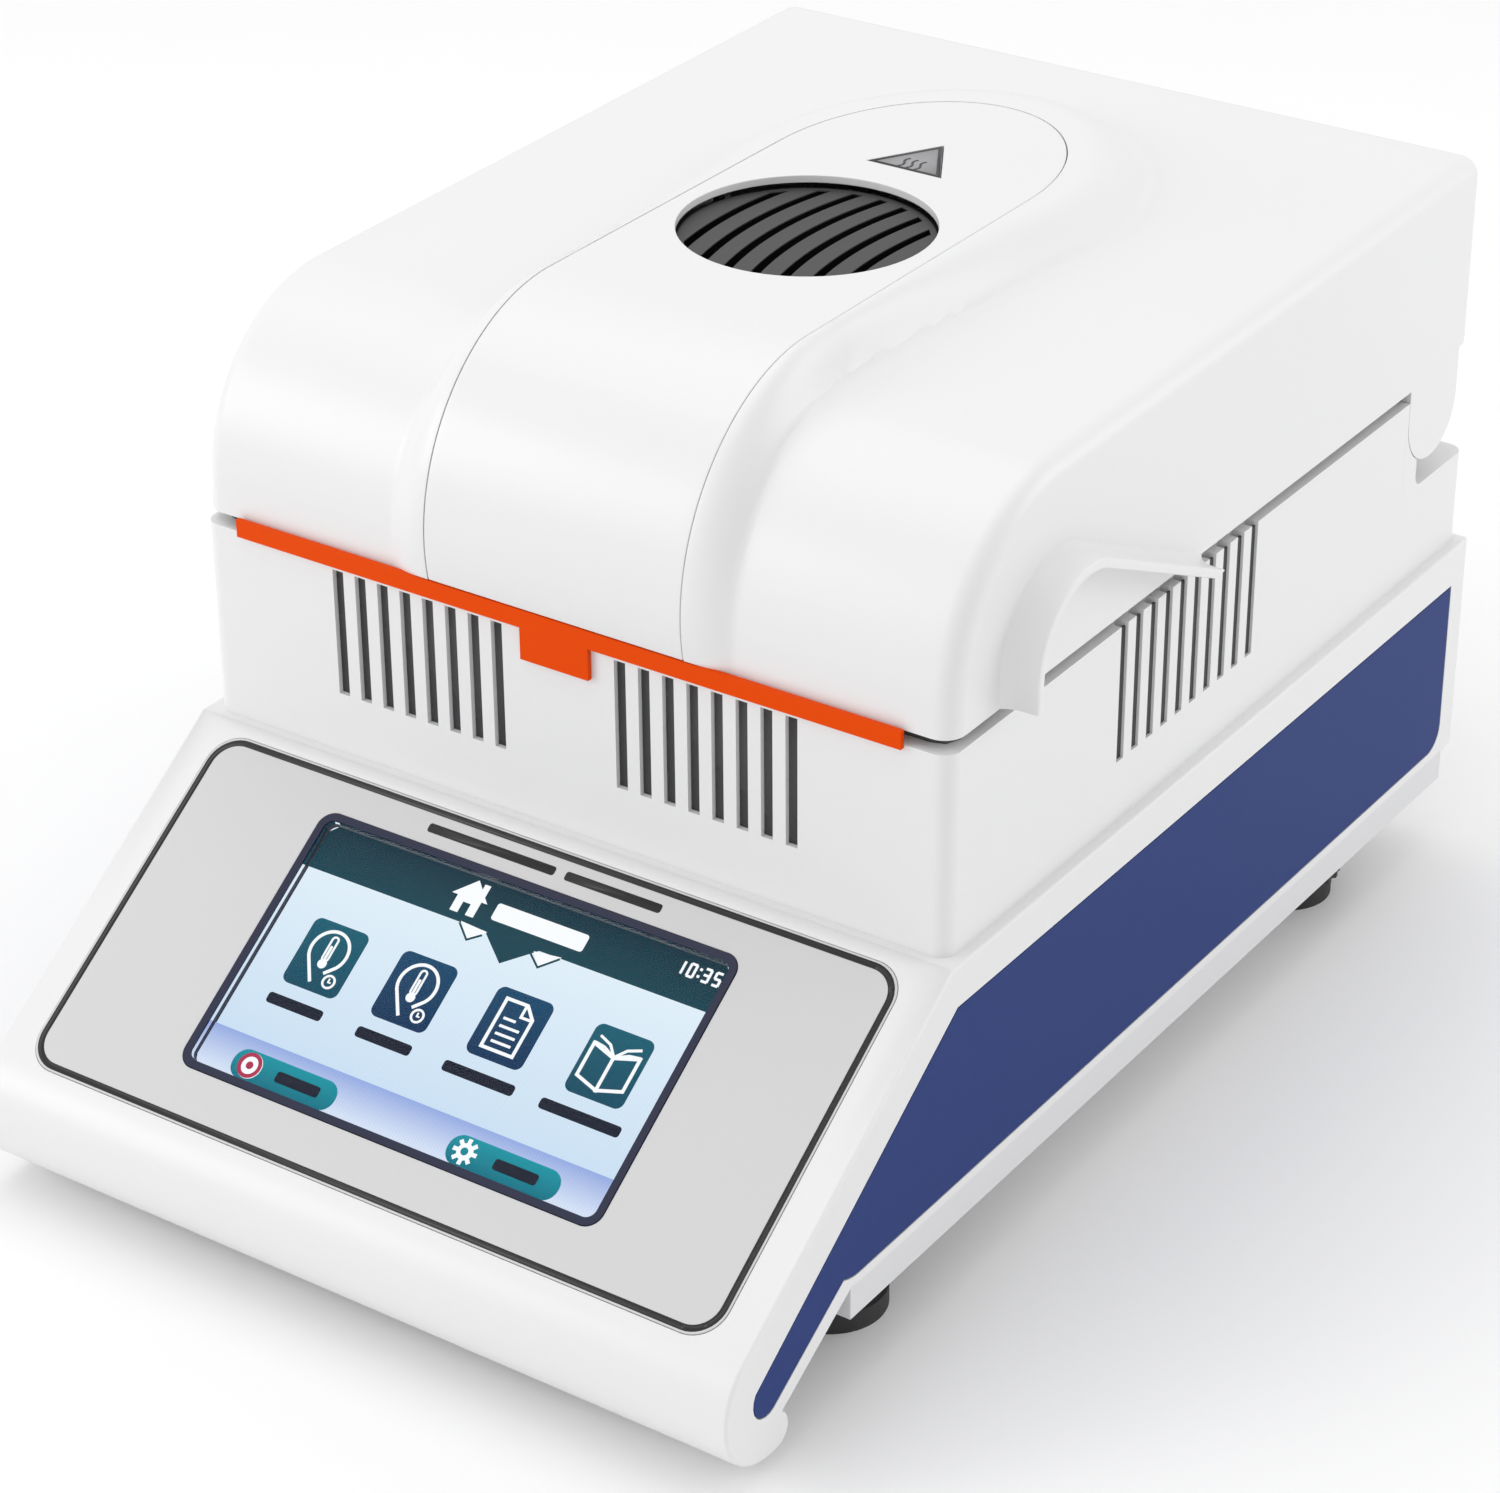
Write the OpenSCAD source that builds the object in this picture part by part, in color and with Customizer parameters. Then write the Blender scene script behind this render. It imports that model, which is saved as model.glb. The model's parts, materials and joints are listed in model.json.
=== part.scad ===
// Halogen grain moisture meter: a wedge-shaped base with a touch screen, a
// slotted chamber tower, and a heater lid on a rear hinge. Millimetres, +Z up,
// front towards -Y. The origin is on the table, under the middle of the body.

/* [Overall] */
// Width of the base
base_w = 205; // [203:0.5:207]
// Width of the tower and of the lid
tower_w = 199; // [198:0.5:200]
// Depth of the tower, front face to rear face
tower_l = 240; // [239:0.5:241]
// Height of the deck on which the tower stands
deck_z = 86; // [85.5:0.25:86.5]
// Height of the seam between tower and lid
seam_z = 136; // [135.8:0.1:136.2]
// Height of the raised middle of the lid
top_z = 195.5; // [195:0.25:196]

/* [Walls] */
// Wall of the base and of the tower
wall = 3; // [2.8:0.1:3.2]
// Wall of the lid
lid_wall = 2.5; // [2.4:0.1:2.6]

/* [Control panel] */
// Angle of the sloping front, from level
slope_a = 34.2; // [34:0.1:34.4]
// Size of the grey overlay, across and down the slope
overlay = [187.4, 89.2]; // [80:0.1:190]
// Size of the screen frame, across and down the slope
screen = [114, 66.8]; // [60:0.1:115]
// Radius of the rolled front edge
nose_r = 16; // [15.8:0.1:16.2]

/* [Vents] */
// Width of one vent slot
slot_w = 3; // [2.6:0.1:3.2]
// Slots in each front group
front_slots = 8; // [4:1:8]
// Distance between front slots
front_pitch = 6.3; // [6:0.1:6.5]
// Slots in each side
side_slots = 10; // [5:1:10]
// Distance between side slots
side_pitch = 6.5; // [6:0.1:7]

/* [Weighing chamber] */
// Radius of the sample pan's bowl
pan_r = 44.8; // [44:0.2:45]
// Inside radius of the draft shield
shield_r = 61; // [60.5:0.5:61.5]

/* [Lid hinge] */
// Radius of the hinge shaft
shaft_r = 4; // [3.5:0.5:4]
// Clearance of a running fit, on the radius
fit = 0.05; // [0.03:0.01:0.08]

/* [Grille] */
// Radius of the round grille
grille_r = 29.3; // [29:0.1:29.5]
// Gaps between the louvres
grille_gaps = 7; // [5:1:7]

/* [Hidden] */
$fn = 96;
eps = 0.01;
half_b = base_w/2;
half_t = tower_w/2;
rear_y = 163.25;
front_y = rear_y - tower_l;
chamber_y = front_y + 97;
ledge_z = 110;              // rear ledge of the tower, below the hinge
ledge_y = front_y + 206.7;  // where the tower's full height ends
rim_z = seam_z - 1.5;       // top of the tower's outer wall
lid_z = seam_z + 1.5;       // bottom edge of the lid
lip_z = seam_z + 2.5;       // top of the lip inside the lid
lip_gap = 0.8;
lip_t = 1.8;
in_x = half_t - lid_wall - lip_gap - lip_t;
in_front = front_y + 6.1;
in_rear = ledge_y - wall;
plate_z = 131;              // top of the chamber deck
plate_t = 2;
shell_z = 28;               // bottom edge of the base shell
floor_z = 19;               // underside of the base plate
floor_t = 2.5;
tray_front = front_y - 39.5;
slope_y = -118.6;
slope_z = 58.9;
nose_y = rear_y - 310.5;
nose_z = 20;
pivot_y = front_y + 219.5;
pivot_z = 128.5;
ear_r = 12;
ear_t = 8;
lid_rear = rear_y - 1.5;
lid_top = 185.5;
lid_rise = 2;
lid_r = 42;
lid_front = front_y + 1;
liner_z = 140;
liner_t = 2;
liner_rear = front_y + 199;
glass_r = 57;
glass_z = liner_z + liner_t;
glass_t = 3;
lamp_r = 36;
lamp_z = 156;
tube_r = 4.5;
hump_r = 48;
hump_y = front_y + 46;
panel_half = 33.8;
hump_end = front_y + 137;
post_r = 4;
screw_r = 1.5;
foot_x = 80;
rear_foot_y = 118;
front_foot_y = -91;
foot_r = 13;
thread_r = 4;
rear_panel_y = rear_y - 6;
inlet_x = 62;
inlet_z = 57;
switch_x = 22;
stem_r = 4;
cell_z = 48;
cell_h = 22;
board_t = 1.6;

// ---------- helpers ----------

// Points of an arc in a plane, from angle a0 to a1
function arc(cy, cz, r, a0, a1, n = 12) =
    [for (i = [0:n]) let (a = a0 + (a1 - a0)*i/n) [cy + r*cos(a), cz + r*sin(a)]];

// Y on the sloping front at height z, for a plane t below the surface
function slope_at(z, t) = slope_y + ((z - slope_z)*cos(slope_a) + t)/sin(slope_a);

// A (y, z) profile carried along x, from x0 to x1
module along_x(x0, x1) {
    translate([x0, 0, 0]) rotate([90, 0, 90]) linear_extrude(x1 - x0) children();
}

// A child and its mirror image in the middle plane
module both_sides() {
    children();
    mirror([1, 0, 0]) children();
}

// The frame of the sloping front: x across, y up the slope, z outwards
module on_slope() {
    translate([0, slope_y, slope_z]) rotate([slope_a, 0, 0]) children();
}

// A box by its low and high corners
module span(a, b) {
    translate(a) cube(b - a);
}

// A flat rounded rectangle by its low and high corners
module round_rect(a, b, r) {
    translate([a.x + r, a.y]) square([b.x - a.x - 2*r, b.y - a.y]);
    translate([a.x, a.y + r]) square([b.x - a.x, b.y - a.y - 2*r]);
    for (x = [a.x + r, b.x - r], y = [a.y + r, b.y - r]) translate([x, y]) circle(r);
}

// A rounded plate centred on z's axis, from z0 to z1
module plate(size, r, z0, z1) {
    translate([0, 0, z0]) linear_extrude(z1 - z0) round_rect(-size/2, size/2, r);
}

// A tube standing on z0
module tube(outer, inner, z0, z1) {
    translate([0, 0, z0]) difference() {
        cylinder(h = z1 - z0, r = outer);
        translate([0, 0, -eps]) cylinder(h = z1 - z0 + 2*eps, r = inner);
    }
}

// A rod along x
module x_rod(x0, x1, y, z, r) {
    translate([x0, y, z]) rotate([0, 90, 0]) cylinder(h = x1 - x0, r = r);
}

// A rod along y
module y_rod(y0, y1, x, z, r) {
    translate([x, y1, z]) rotate([90, 0, 0]) cylinder(h = y1 - y0, r = r);
}

module at_chamber() {
    translate([0, chamber_y, 0]) children();
}

// ---------- base ----------

module base_outline() {
    polygon(concat(
        [[rear_y, deck_z], [slope_at(deck_z, 0), deck_z]],
        arc(nose_y, nose_z, nose_r, 90 + slope_a, 270, 16),
        arc(nose_y + 2.5, nose_z - nose_r + 4.5, 4.5, 270, 420, 8),
        [[tray_front, shell_z], [rear_y, shell_z]]));
}

module base_cavity() {
    polygon(concat(
        [[rear_y - wall, deck_z - wall], [slope_at(deck_z - wall, wall), deck_z - wall]],
        arc(nose_y, nose_z, nose_r - wall, 90 + slope_a, 270, 16),
        arc(nose_y + 2.5, nose_z - nose_r + 4.5, 1.5, 270, 420, 8),
        [[nose_y + 4.3, nose_z - 6.8], [nose_y + 6.2, nose_z - 8], [nose_y + 10, 0],
         [rear_y - wall, 0]]));
}

// Outline of the blue inlay: a long band whose toe runs down to the nose
module side_outline(grow) {
    low = shell_z + 2.6;
    polygon(concat(
        [[front_y + 0.3 - grow, deck_z - 10.5 + grow], [rear_y - 8 + grow, deck_z - 10.5 + grow]],
        arc(rear_y - 14, low + 6, 6 + grow, 0, -90, 6),
        arc(tray_front + 2, low + 12, 12 + grow, -90, -118, 4),
        arc(nose_y - 1.2, nose_z + 0.2, 4.8 + grow, -62, -215, 8)));
}

rear_window = [[-86, 36], [88, 80]];   // low and high (x, z) corners
post_spots = [for (x = [-92, 92], y = [-60, 60, 145]) [x, y]];

module base_shell() color([0.93, 0.93, 0.93]) {
    difference() {
        along_x(-half_b, half_b) base_outline();
        along_x(-half_b + wall, half_b - wall) base_cavity();
        both_sides() along_x(half_b - 1.2, half_b + 1) side_outline(0.35);
        on_slope() {
            plate(overlay + [0.4, 0.4], 8, -0.6, 5);
            translate([0, 1.6, 0]) plate(screen + [0.6, 0.6], 4, -5, 5);
        }
        at_chamber() cylinder(h = 200, r = 12);
        span([rear_window[0].x, rear_y - 5, rear_window[0].y],
             [rear_window[1].x, rear_y + 5, rear_window[1].y]);
        for (x = [-40, 60]) span([x - 12, 95, 80], [x + 12, 115, 90]);
    }
    for (p = post_spots) translate([p.x, p.y, 0]) difference() {
        tube(post_r, screw_r + 0.1, floor_z + floor_t + 0.1, deck_z - wall + 0.5);
        translate([0, 0, 50]) cylinder(h = 60, r = 0.5);
    }
}

module base_plate() color([0.85, 0.85, 0.85]) {
    apron_y = nose_y + 6;
    difference() {
        union() {
            difference() {
                span([-half_b + 0.8, tray_front, floor_z], [half_b - 0.8, rear_y - 4, shell_z]);
                span([-half_b + 3.3, tray_front + 2.5, floor_z + floor_t],
                     [half_b - 3.3, rear_y - 6.5, shell_z + 1]);
            }
            along_x(-half_b + wall + 0.4, half_b - wall - 0.4)
                polygon([[tray_front + 1, shell_z - 2.5], [tray_front + 1, shell_z],
                         [apron_y, nose_z - 4.5], [apron_y, nose_z - 7]]);
            for (x = [-80, -28], y = [-70, 50])
                translate([x, y, floor_z]) cylinder(h = 16, r = 3);
            for (x = [26, 80], y = [-8, 92])
                translate([x, y, floor_z]) cylinder(h = 11, r = 3);
        }
        for (p = post_spots)
            translate([p.x, p.y, 0]) cylinder(h = 60, r = screw_r + 0.25);
        for (x = [-foot_x, foot_x])
            translate([x, rear_foot_y, 0]) cylinder(h = 60, r = thread_r + 0.5);
    }
}

module side_panel() {
    color([0.2, 0.26, 0.47]) along_x(half_b - 1.2, half_b - 0.02) side_outline(0);
}

module side_panel_left() mirror([1, 0, 0]) side_panel();
module side_panel_right() side_panel();

// ---------- control panel ----------

module control_overlay() color([0.86, 0.86, 0.87]) on_slope() difference() {
    plate(overlay, 7.8, -0.6, 0.1);
    translate([0, 1.6, 0]) plate(screen + [0.4, 0.4], 4.2, -5, 5);
}

module screen_frame() color([0.12, 0.13, 0.2]) on_slope() translate([0, 1.6, 0]) difference() {
    plate(screen, 4, -3.4, 0.3);
    plate(screen - [3.6, 3.6], 2.4, -4, 5);
}

module touch_glass() color([0.75, 0.85, 0.9]) on_slope()
    translate([0, 1.6, 0]) plate(screen - [3.8, 3.8], 2.3, -1.4, -0.1);

module display_module() color([0.6, 0.6, 0.62]) on_slope()
    translate([0, 1.6, 0]) plate([121, 76], 1, -8, -3.5);

module display_board() color([0.1, 0.35, 0.2]) on_slope() translate([0, 1.6, 0]) {
    plate([121, 76], 2, -12.6, -11);
    plate([14, 14], 0.5, -14, -12.5);
    for (x = [-56, 56], y = [-34, 34]) translate([x, y, -11.1]) cylinder(h = 3.1, r = 2.5);
}

// ---------- electronics ----------

module main_board() color([0.1, 0.35, 0.2]) {
    z = floor_z + 16;
    span([-86, -76, z], [-22, 56, z + board_t]);
    span([-64, -20, z + 1], [-46, -2, z + 3.4]);
    span([-80, 20, z + 1], [-72, 46, z + 9]);
    for (x = [-36, -30]) translate([x, 30, z + 1]) cylinder(h = 9, r = 2.5);
}

module power_supply() color([0.75, 0.65, 0.2]) {
    z = floor_z + 11;
    span([20, -14, z], [86, 98, z + board_t]);
    span([28, 50, z + 1], [62, 84, z + 31]);
    for (y = [-2, 18]) translate([34, y, z + 1]) cylinder(h = 22, r = 8);
}

module heatsink() color([0.7, 0.7, 0.72]) {
    z = floor_z + 11 + board_t;
    span([72, 0, z], [75, 80, z + 30]);
    for (y = [0:8:72]) span([74.9, y, z], [84, y + 2, z + 30]);
}

module load_cell() color([0.78, 0.78, 0.8]) difference() {
    span([-12, chamber_y - 14, cell_z], [12, chamber_y + 106, cell_z + cell_h]);
    for (y = [chamber_y + 36, chamber_y + 58]) x_rod(-13, 13, y, cell_z + cell_h/2, 7.5);
    span([-13, chamber_y + 36, cell_z + cell_h/2 - 3],
         [13, chamber_y + 58, cell_z + cell_h/2 + 3]);
}

module load_cell_block() color([0.78, 0.78, 0.8])
    span([-14, chamber_y + 78, floor_z + floor_t], [14, chamber_y + 106, cell_z]);

// ---------- tower ----------

module side_slot_cuts() {
    for (i = [0:side_slots - 1]) {
        y = front_y + 71 + side_pitch*i;
        span([in_x - 1, y - slot_w/2, 101], [half_t + 1, y + slot_w/2, plate_z + 1]);
        span([half_t - 3.2, y - slot_w/2, 101], [half_t + 1, y + slot_w/2, rim_z + 1]);
    }
}

module front_slot_cuts() {
    for (i = [0:front_slots - 1], s = [-1, 1]) {
        x = s*(16.5 + front_pitch*i);
        span([x - slot_w/2, front_y - 1, 101.2], [x + slot_w/2, in_front + 1, rim_z - 2]);
    }
}

module tower_plan(grow) {
    round_rect([-half_t - grow, front_y - grow], [half_t + grow, rear_y], 4);
}

module tower_shell() color([0.93, 0.93, 0.93]) {
    difference() {
        union() {
            translate([0, 0, deck_z]) linear_extrude(rim_z - deck_z) tower_plan(0);
            translate([0, 0, rim_z - 4]) linear_extrude(lip_z - rim_z + 4)
                round_rect([-in_x - lip_t, in_front - lip_t], [in_x + lip_t, ledge_y], 4.2);
        }
        span([-in_x, in_front, deck_z - 1], [in_x, in_rear, lip_z + 1]);
        span([-half_t - 1, ledge_y, ledge_z], [half_t + 1, rear_y + 1, lip_z + 1]);
        span([-half_t + wall, ledge_y, deck_z - 1],
             [half_t - wall, rear_y - wall, ledge_z - wall]);
        both_sides() side_slot_cuts();
        front_slot_cuts();
    }
    for (x = [-in_x, in_x - 8], y = [in_front, in_rear - 8])
        span([x, y, plate_z - 22], [x + 8, y + 8, plate_z - plate_t]);
}

level_spot = [78, front_y + 22];
plunger_spot = [-78, front_y + 22];

module chamber_deck() color([0.8, 0.8, 0.81]) difference() {
    span([-in_x + 0.2, in_front + 0.2, plate_z - plate_t], [in_x - 0.2, in_rear - 0.2, plate_z]);
    at_chamber() cylinder(h = 200, r = shield_r + 2.5);
    translate(level_spot) cylinder(h = 200, r = 9.3);
    translate(plunger_spot) cylinder(h = 200, r = 3);
}

module chamber_floor() color([0.6, 0.6, 0.6]) at_chamber() tube(shield_r + 10, 9, deck_z, deck_z + 6);

module draft_shield() color([0.75, 0.75, 0.77]) at_chamber() {
    rotate_extrude() {
        translate([shield_r, deck_z + 6]) square([1.5, plate_z + 1 - deck_z - 6]);
        translate([shield_r, plate_z]) square([6, 1]);
    }
    for (a = [30, 150, 270]) rotate([0, 0, a + 180])
        span([shield_r - 6, -4, 113], [shield_r + 0.5, 4, 115.5]);
}

module level_housing() color([0.2, 0.2, 0.2]) translate(level_spot) {
    tube(9, 7.2, plate_z - 5, plate_z + 1);
    tube(10.5, 7.2, plate_z, plate_z + 1);
    translate([0, 0, plate_z - 6]) cylinder(h = 1.5, r = 9);
}

module level_vial() color([0.8, 0.95, 0.5, 0.6])
    translate([level_spot.x, level_spot.y, plate_z - 4.5]) cylinder(h = 5.3, r = 7.15);

module lid_switch() color([0.15, 0.15, 0.15]) difference() {
    span([plunger_spot.x - 5, plunger_spot.y - 10, 117],
         [plunger_spot.x + 5, plunger_spot.y + 10, plate_z - plate_t]);
    translate([plunger_spot.x, plunger_spot.y, 120]) cylinder(h = 20, r = 2 + fit);
}

module switch_plunger() color([0.8, 0.1, 0.1])
    translate([plunger_spot.x, plunger_spot.y, 123]) cylinder(h = liner_z - 0.5 - 123, r = 2);

// ---------- hinge ----------

bracket_x = [82, 89];
module hinge_shaft() color([0.7, 0.7, 0.72])
    x_rod(-half_t + 2.5, half_t - 2.5, pivot_y, pivot_z, shaft_r);

module hinge_brackets() color([0.6, 0.6, 0.62]) both_sides() difference() {
    union() {
        span([bracket_x[0], pivot_y - 7, ledge_z], [bracket_x[1], pivot_y + 7, pivot_z]);
        x_rod(bracket_x[0], bracket_x[1], pivot_y, pivot_z, 7);
    }
    x_rod(bracket_x[0] - 1, bracket_x[1] + 1, pivot_y, pivot_z, shaft_r + fit);
}

module hinge_cover() color([0.93, 0.93, 0.93]) difference() {
    union() {
        span([-80, pivot_y - 12, ledge_z], [80, pivot_y + 13.6, pivot_z]);
        x_rod(-80, 80, pivot_y + 0.8, pivot_z, 12.8);
    }
    span([-77.5, pivot_y - 9.5, ledge_z - 1], [77.5, pivot_y + 11.1, pivot_z]);
    x_rod(-77.5, 77.5, pivot_y + 0.8, pivot_z, 10.3);
    x_rod(-90, 90, pivot_y, pivot_z, shaft_r + 0.5);
}

// ---------- rear panel ----------

module rear_panel() color([0.25, 0.25, 0.27]) difference() {
    span([-90, rear_panel_y - 2, 33], [92, rear_y - wall - 0.05, 82.5]);
    span([rear_window[0].x, rear_panel_y, rear_window[0].y],
         [rear_window[1].x, rear_y, rear_window[1].y]);
    span([inlet_x - 14.2, 0, inlet_z - 18.2], [inlet_x + 14.2, 200, inlet_z + 18.2]);
    span([switch_x - 9.7, 0, inlet_z - 13.2], [switch_x + 9.7, 200, inlet_z + 13.2]);
    span([-38.7, 0, 52.3], [-21.3, 200, 61.7]);
    span([-70.2, 0, 50.8], [-57.8, 200, 63.2]);
}

socket_z = inlet_z + 8.5;
fuse_z = inlet_z - 11;
module mains_inlet() color([0.12, 0.12, 0.12]) difference() {
    union() {
        span([inlet_x - 14, rear_panel_y - 22, inlet_z - 18],
             [inlet_x + 14, rear_panel_y, inlet_z + 18]);
        span([inlet_x - 16.5, rear_panel_y, inlet_z - 20.5],
             [inlet_x + 16.5, rear_panel_y + 2.5, inlet_z + 20.5]);
    }
    span([inlet_x - 12, rear_panel_y - 15, socket_z - 8.2],
         [inlet_x + 12, rear_y, socket_z + 8.2]);
    span([inlet_x - 11, rear_panel_y - 19, fuse_z - 5],
         [inlet_x + 11, rear_y, fuse_z + 5]);
}

module inlet_pins() color([0.8, 0.75, 0.5])
    for (p = [[-7, -2], [7, -2], [0, 2.5]])
        translate([inlet_x + p.x, 0, socket_z + p.y])
            span([-1, rear_panel_y - 15, -2], [1, rear_panel_y - 4, 2]);

module fuse_drawer() color([0.18, 0.18, 0.18]) {
    span([inlet_x - 10.7, rear_panel_y - 18, fuse_z - 4.7],
         [inlet_x + 10.7, rear_panel_y + 2.3, fuse_z + 4.7]);
    span([inlet_x - 4, rear_panel_y + 2, fuse_z + 2], [inlet_x + 4, rear_panel_y + 4, fuse_z + 4]);
}

module switch_frame() color([0.12, 0.12, 0.12]) difference() {
    union() {
        span([switch_x - 9.5, rear_panel_y - 18, inlet_z - 13],
             [switch_x + 9.5, rear_panel_y, inlet_z + 13]);
        span([switch_x - 11.5, rear_panel_y, inlet_z - 15],
             [switch_x + 11.5, rear_panel_y + 2, inlet_z + 15]);
    }
    span([switch_x - 7.5, rear_panel_y - 10, inlet_z - 11],
         [switch_x + 7.5, rear_y, inlet_z + 11]);
    x_rod(switch_x - 8.8, switch_x + 8.8, rear_panel_y - 3, inlet_z, pivot_pin_r + fit);
}

// The rocker lies tipped, its upper half pressed in
pivot_pin_r = 1.5;
module power_rocker() color([0.7, 0.1, 0.1])
    translate([switch_x, rear_panel_y - 3, inlet_z]) rotate([10, 0, 0]) {
        rotate([90, 0, 90]) translate([0, 0, -7]) linear_extrude(14)
            polygon([[-3, -9], [2.4, -9.8], [1.2, 0], [2.4, 9.8], [-3, 9]]);
        x_rod(-8.6, 8.6, 0, 0, pivot_pin_r);
    }

module serial_port() color([0.7, 0.7, 0.72]) {
    span([-45.5, rear_panel_y, 50.8], [-14.5, rear_panel_y + 1, 63.2]);
    span([-38.5, rear_panel_y - 8, 52.5], [-21.5, rear_panel_y + 5, 61.5]);
}

module usb_port() color([0.75, 0.75, 0.77]) difference() {
    span([-70, rear_panel_y - 14, 51], [-58, rear_panel_y + 1, 63]);
    span([-68.5, rear_panel_y - 9, 52.5], [-59.5, rear_panel_y + 2, 61.5]);
}

// ---------- feet and screws ----------

module front_feet() color([0.15, 0.15, 0.15]) both_sides()
    translate([foot_x, front_foot_y, 0]) {
        cylinder(h = floor_z, r = foot_r - 2);
        cylinder(h = 5, r = foot_r);
    }

module foot_nuts() color([0.8, 0.7, 0.3]) both_sides()
    translate([foot_x, rear_foot_y, 0]) tube(7, thread_r + fit, floor_z + floor_t, floor_z + 12);

module foot_pad() color([0.15, 0.15, 0.15]) translate([foot_x, rear_foot_y, 0]) difference() {
    cylinder(h = 6, r = foot_r - 1);
    translate([0, 0, 2.5]) cylinder(h = 10, r = thread_r + 0.4);
}

// Knurled wheel and its screw, turned as one
module foot_screw() color([0.3, 0.3, 0.32]) translate([foot_x, rear_foot_y, 0]) {
    translate([0, 0, 2.8]) cylinder(h = floor_z + 13 - 2.8, r = thread_r);
    difference() {
        translate([0, 0, 6.4]) cylinder(h = 6, r = foot_r + 1);
        for (a = [0:15:345]) rotate([0, 0, a])
            translate([foot_r + 1.8, 0, 6]) cylinder(h = 7, r = 1.5, $fn = 24);
    }
}

module foot_pad_right() foot_pad();
module foot_pad_left() mirror([1, 0, 0]) foot_pad();
module foot_screw_right() foot_screw();
module foot_screw_left() mirror([1, 0, 0]) foot_screw();

module case_screws() color([0.6, 0.6, 0.62]) for (p = post_spots)
    translate([p.x, p.y, 0]) {
        translate([0, 0, floor_z - 2]) cylinder(h = 2, r = 3);
        translate([0, 0, floor_z - 0.1]) cylinder(h = 16, r = screw_r);
    }

// ---------- lid ----------

// Side profile of the lid, t inside its surface, reaching down to z
module lid_profile(t, z) {
    polygon(concat(
        [[lid_front - 0.4 + t, z]],
        arc(lid_front + lid_r, lid_top - lid_r, lid_r - t, 180, 90, 20),
        arc(lid_rear - 5, lid_top + lid_rise - 5, 5 - t, 90, 0, 6),
        [[lid_rear - t, z]]));
}

// Side profile of the raised middle of the lid
module hump_profile(t, z) {
    polygon(concat(
        [[front_y - 1.2 + t, z]],
        arc(hump_y, top_z - hump_r, hump_r - t, 178, 90, 20),
        [[rear_y, top_z - t], [rear_y, z]]));
}

// Plan of a U that is open to the front: straight sides and a half-oval end
module u_plan(half, end, front) {
    polygon(concat([[half, front], [half, hump_end]],
        [for (i = [1:23]) [half*cos(i*7.5), hump_end + end*sin(i*7.5)]],
        [[-half, hump_end], [-half, front]]));
}

module lid_body(t, z) {
    edge = 5;
    hull() for (a = [0, 30, 60, 90]) {
        in = edge*(1 - cos(a)) + t;
        x = half_t - edge - t + edge*sin(a);
        along_x(-x, x) lid_profile(in, z);
    }
}

module hump_body(t, z) {
    hull() {
        intersection() {
            along_x(-60, 60) hump_profile(t, z);
            translate([0, 0, z]) linear_extrude(100) u_plan(36 - t, 49 - t, front_y - 10);
        }
        intersection() {
            along_x(-60, 60) lid_profile(t + 0.5, z);
            translate([0, 0, z]) linear_extrude(100) u_plan(51 - t, 68 - t, front_y - 10);
        }
    }
}

// Finger grip: an arched rib that stands out from the lid's side
module grip() {
    cy = front_y + 40.5;
    cz = seam_z + 8;
    r = 20;
    run = 25.5;
    end = cy + r*sin(run) + (cz + r*cos(run) - lid_z)/tan(run);
    difference() {
        along_x(half_t - 1, half_t + 8.4)
            polygon(concat([[end, lid_z]], arc(cy, cz, r, 90 - run, 180, 16), [[cy - r, lid_z]]));
        along_x(half_t - 2, half_t + 10) polygon(concat([[end - 5.5, lid_z - eps]],
            arc(cy, cz, r - 2.3, 90 - run, 180, 16), [[cy - r + 2.3, lid_z - eps]]));
    }
}

module ear() {
    x_rod(half_t - ear_t, half_t, pivot_y, pivot_z, ear_r);
    span([half_t - ear_t, pivot_y - ear_r, pivot_z], [half_t, pivot_y + ear_r, pivot_z + 24]);
}

module lid_shell() color([0.93, 0.93, 0.93]) {
    difference() {
        union() {
            intersection() {
                difference() {
                    union() {
                        lid_body(0, 100);
                        hump_body(0, 120);
                    }
                    lid_body(lid_wall, 90);
                    hump_body(lid_wall + 1.5, 110);
                }
                union() {
                    span([-110, front_y - 10, lid_z], [110, pivot_y, 210]);
                    span([-110, pivot_y - 1, seam_z + 4], [110, rear_y + 5, 210]);
                }
            }
            both_sides() grip();
            both_sides() ear();
        }
        intersection() {
            along_x(-panel_half - 0.25, panel_half + 0.25) difference() {
                hump_profile(-2, lid_z - 5);
                hump_profile(2, lid_z - 8);
            }
            translate([0, 0, lid_z - 1]) linear_extrude(100)
                u_plan(panel_half + 0.25, 46.25, front_y - 12);
        }
        at_chamber() translate([0, 0, 170]) cylinder(h = 60, r = grille_r + 0.3);
        span([-88.9, front_y - 5, 100], [88.9, front_y - 0.15, seam_z + 2.25]);
        both_sides() x_rod(half_t - ear_t - 1, half_t - 2, pivot_y, pivot_z, 5.5 + fit);
    }
    difference() {
        intersection() {
            lid_body(lid_wall/2, 90);
            lid_posts(post_r, liner_z + liner_t + 0.05, 200);
        }
        lid_posts(screw_r + 0.1, 0, liner_z + 18);
    }
}

// Rods where the liner is screwed to the lid
module lid_posts(r, z0, z1) both_sides() for (y = [front_y + 14, front_y + 186])
    translate([86, y, z0]) cylinder(h = z1 - z0, r = r);

module lid_centre_panel() color([0.94, 0.94, 0.94]) difference() {
    intersection() {
        along_x(-panel_half, panel_half) difference() {
            hump_profile(0, lid_z + 0.8);
            hump_profile(1.95, lid_z - 8);
        }
        translate([0, 0, lid_z]) linear_extrude(100) u_plan(panel_half, 46, front_y - 12);
    }
    at_chamber() translate([0, 0, 180]) cylinder(h = 60, r = grille_r + 0.3);
    heat_triangle(11.9, top_z - 0.6);
}

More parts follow.
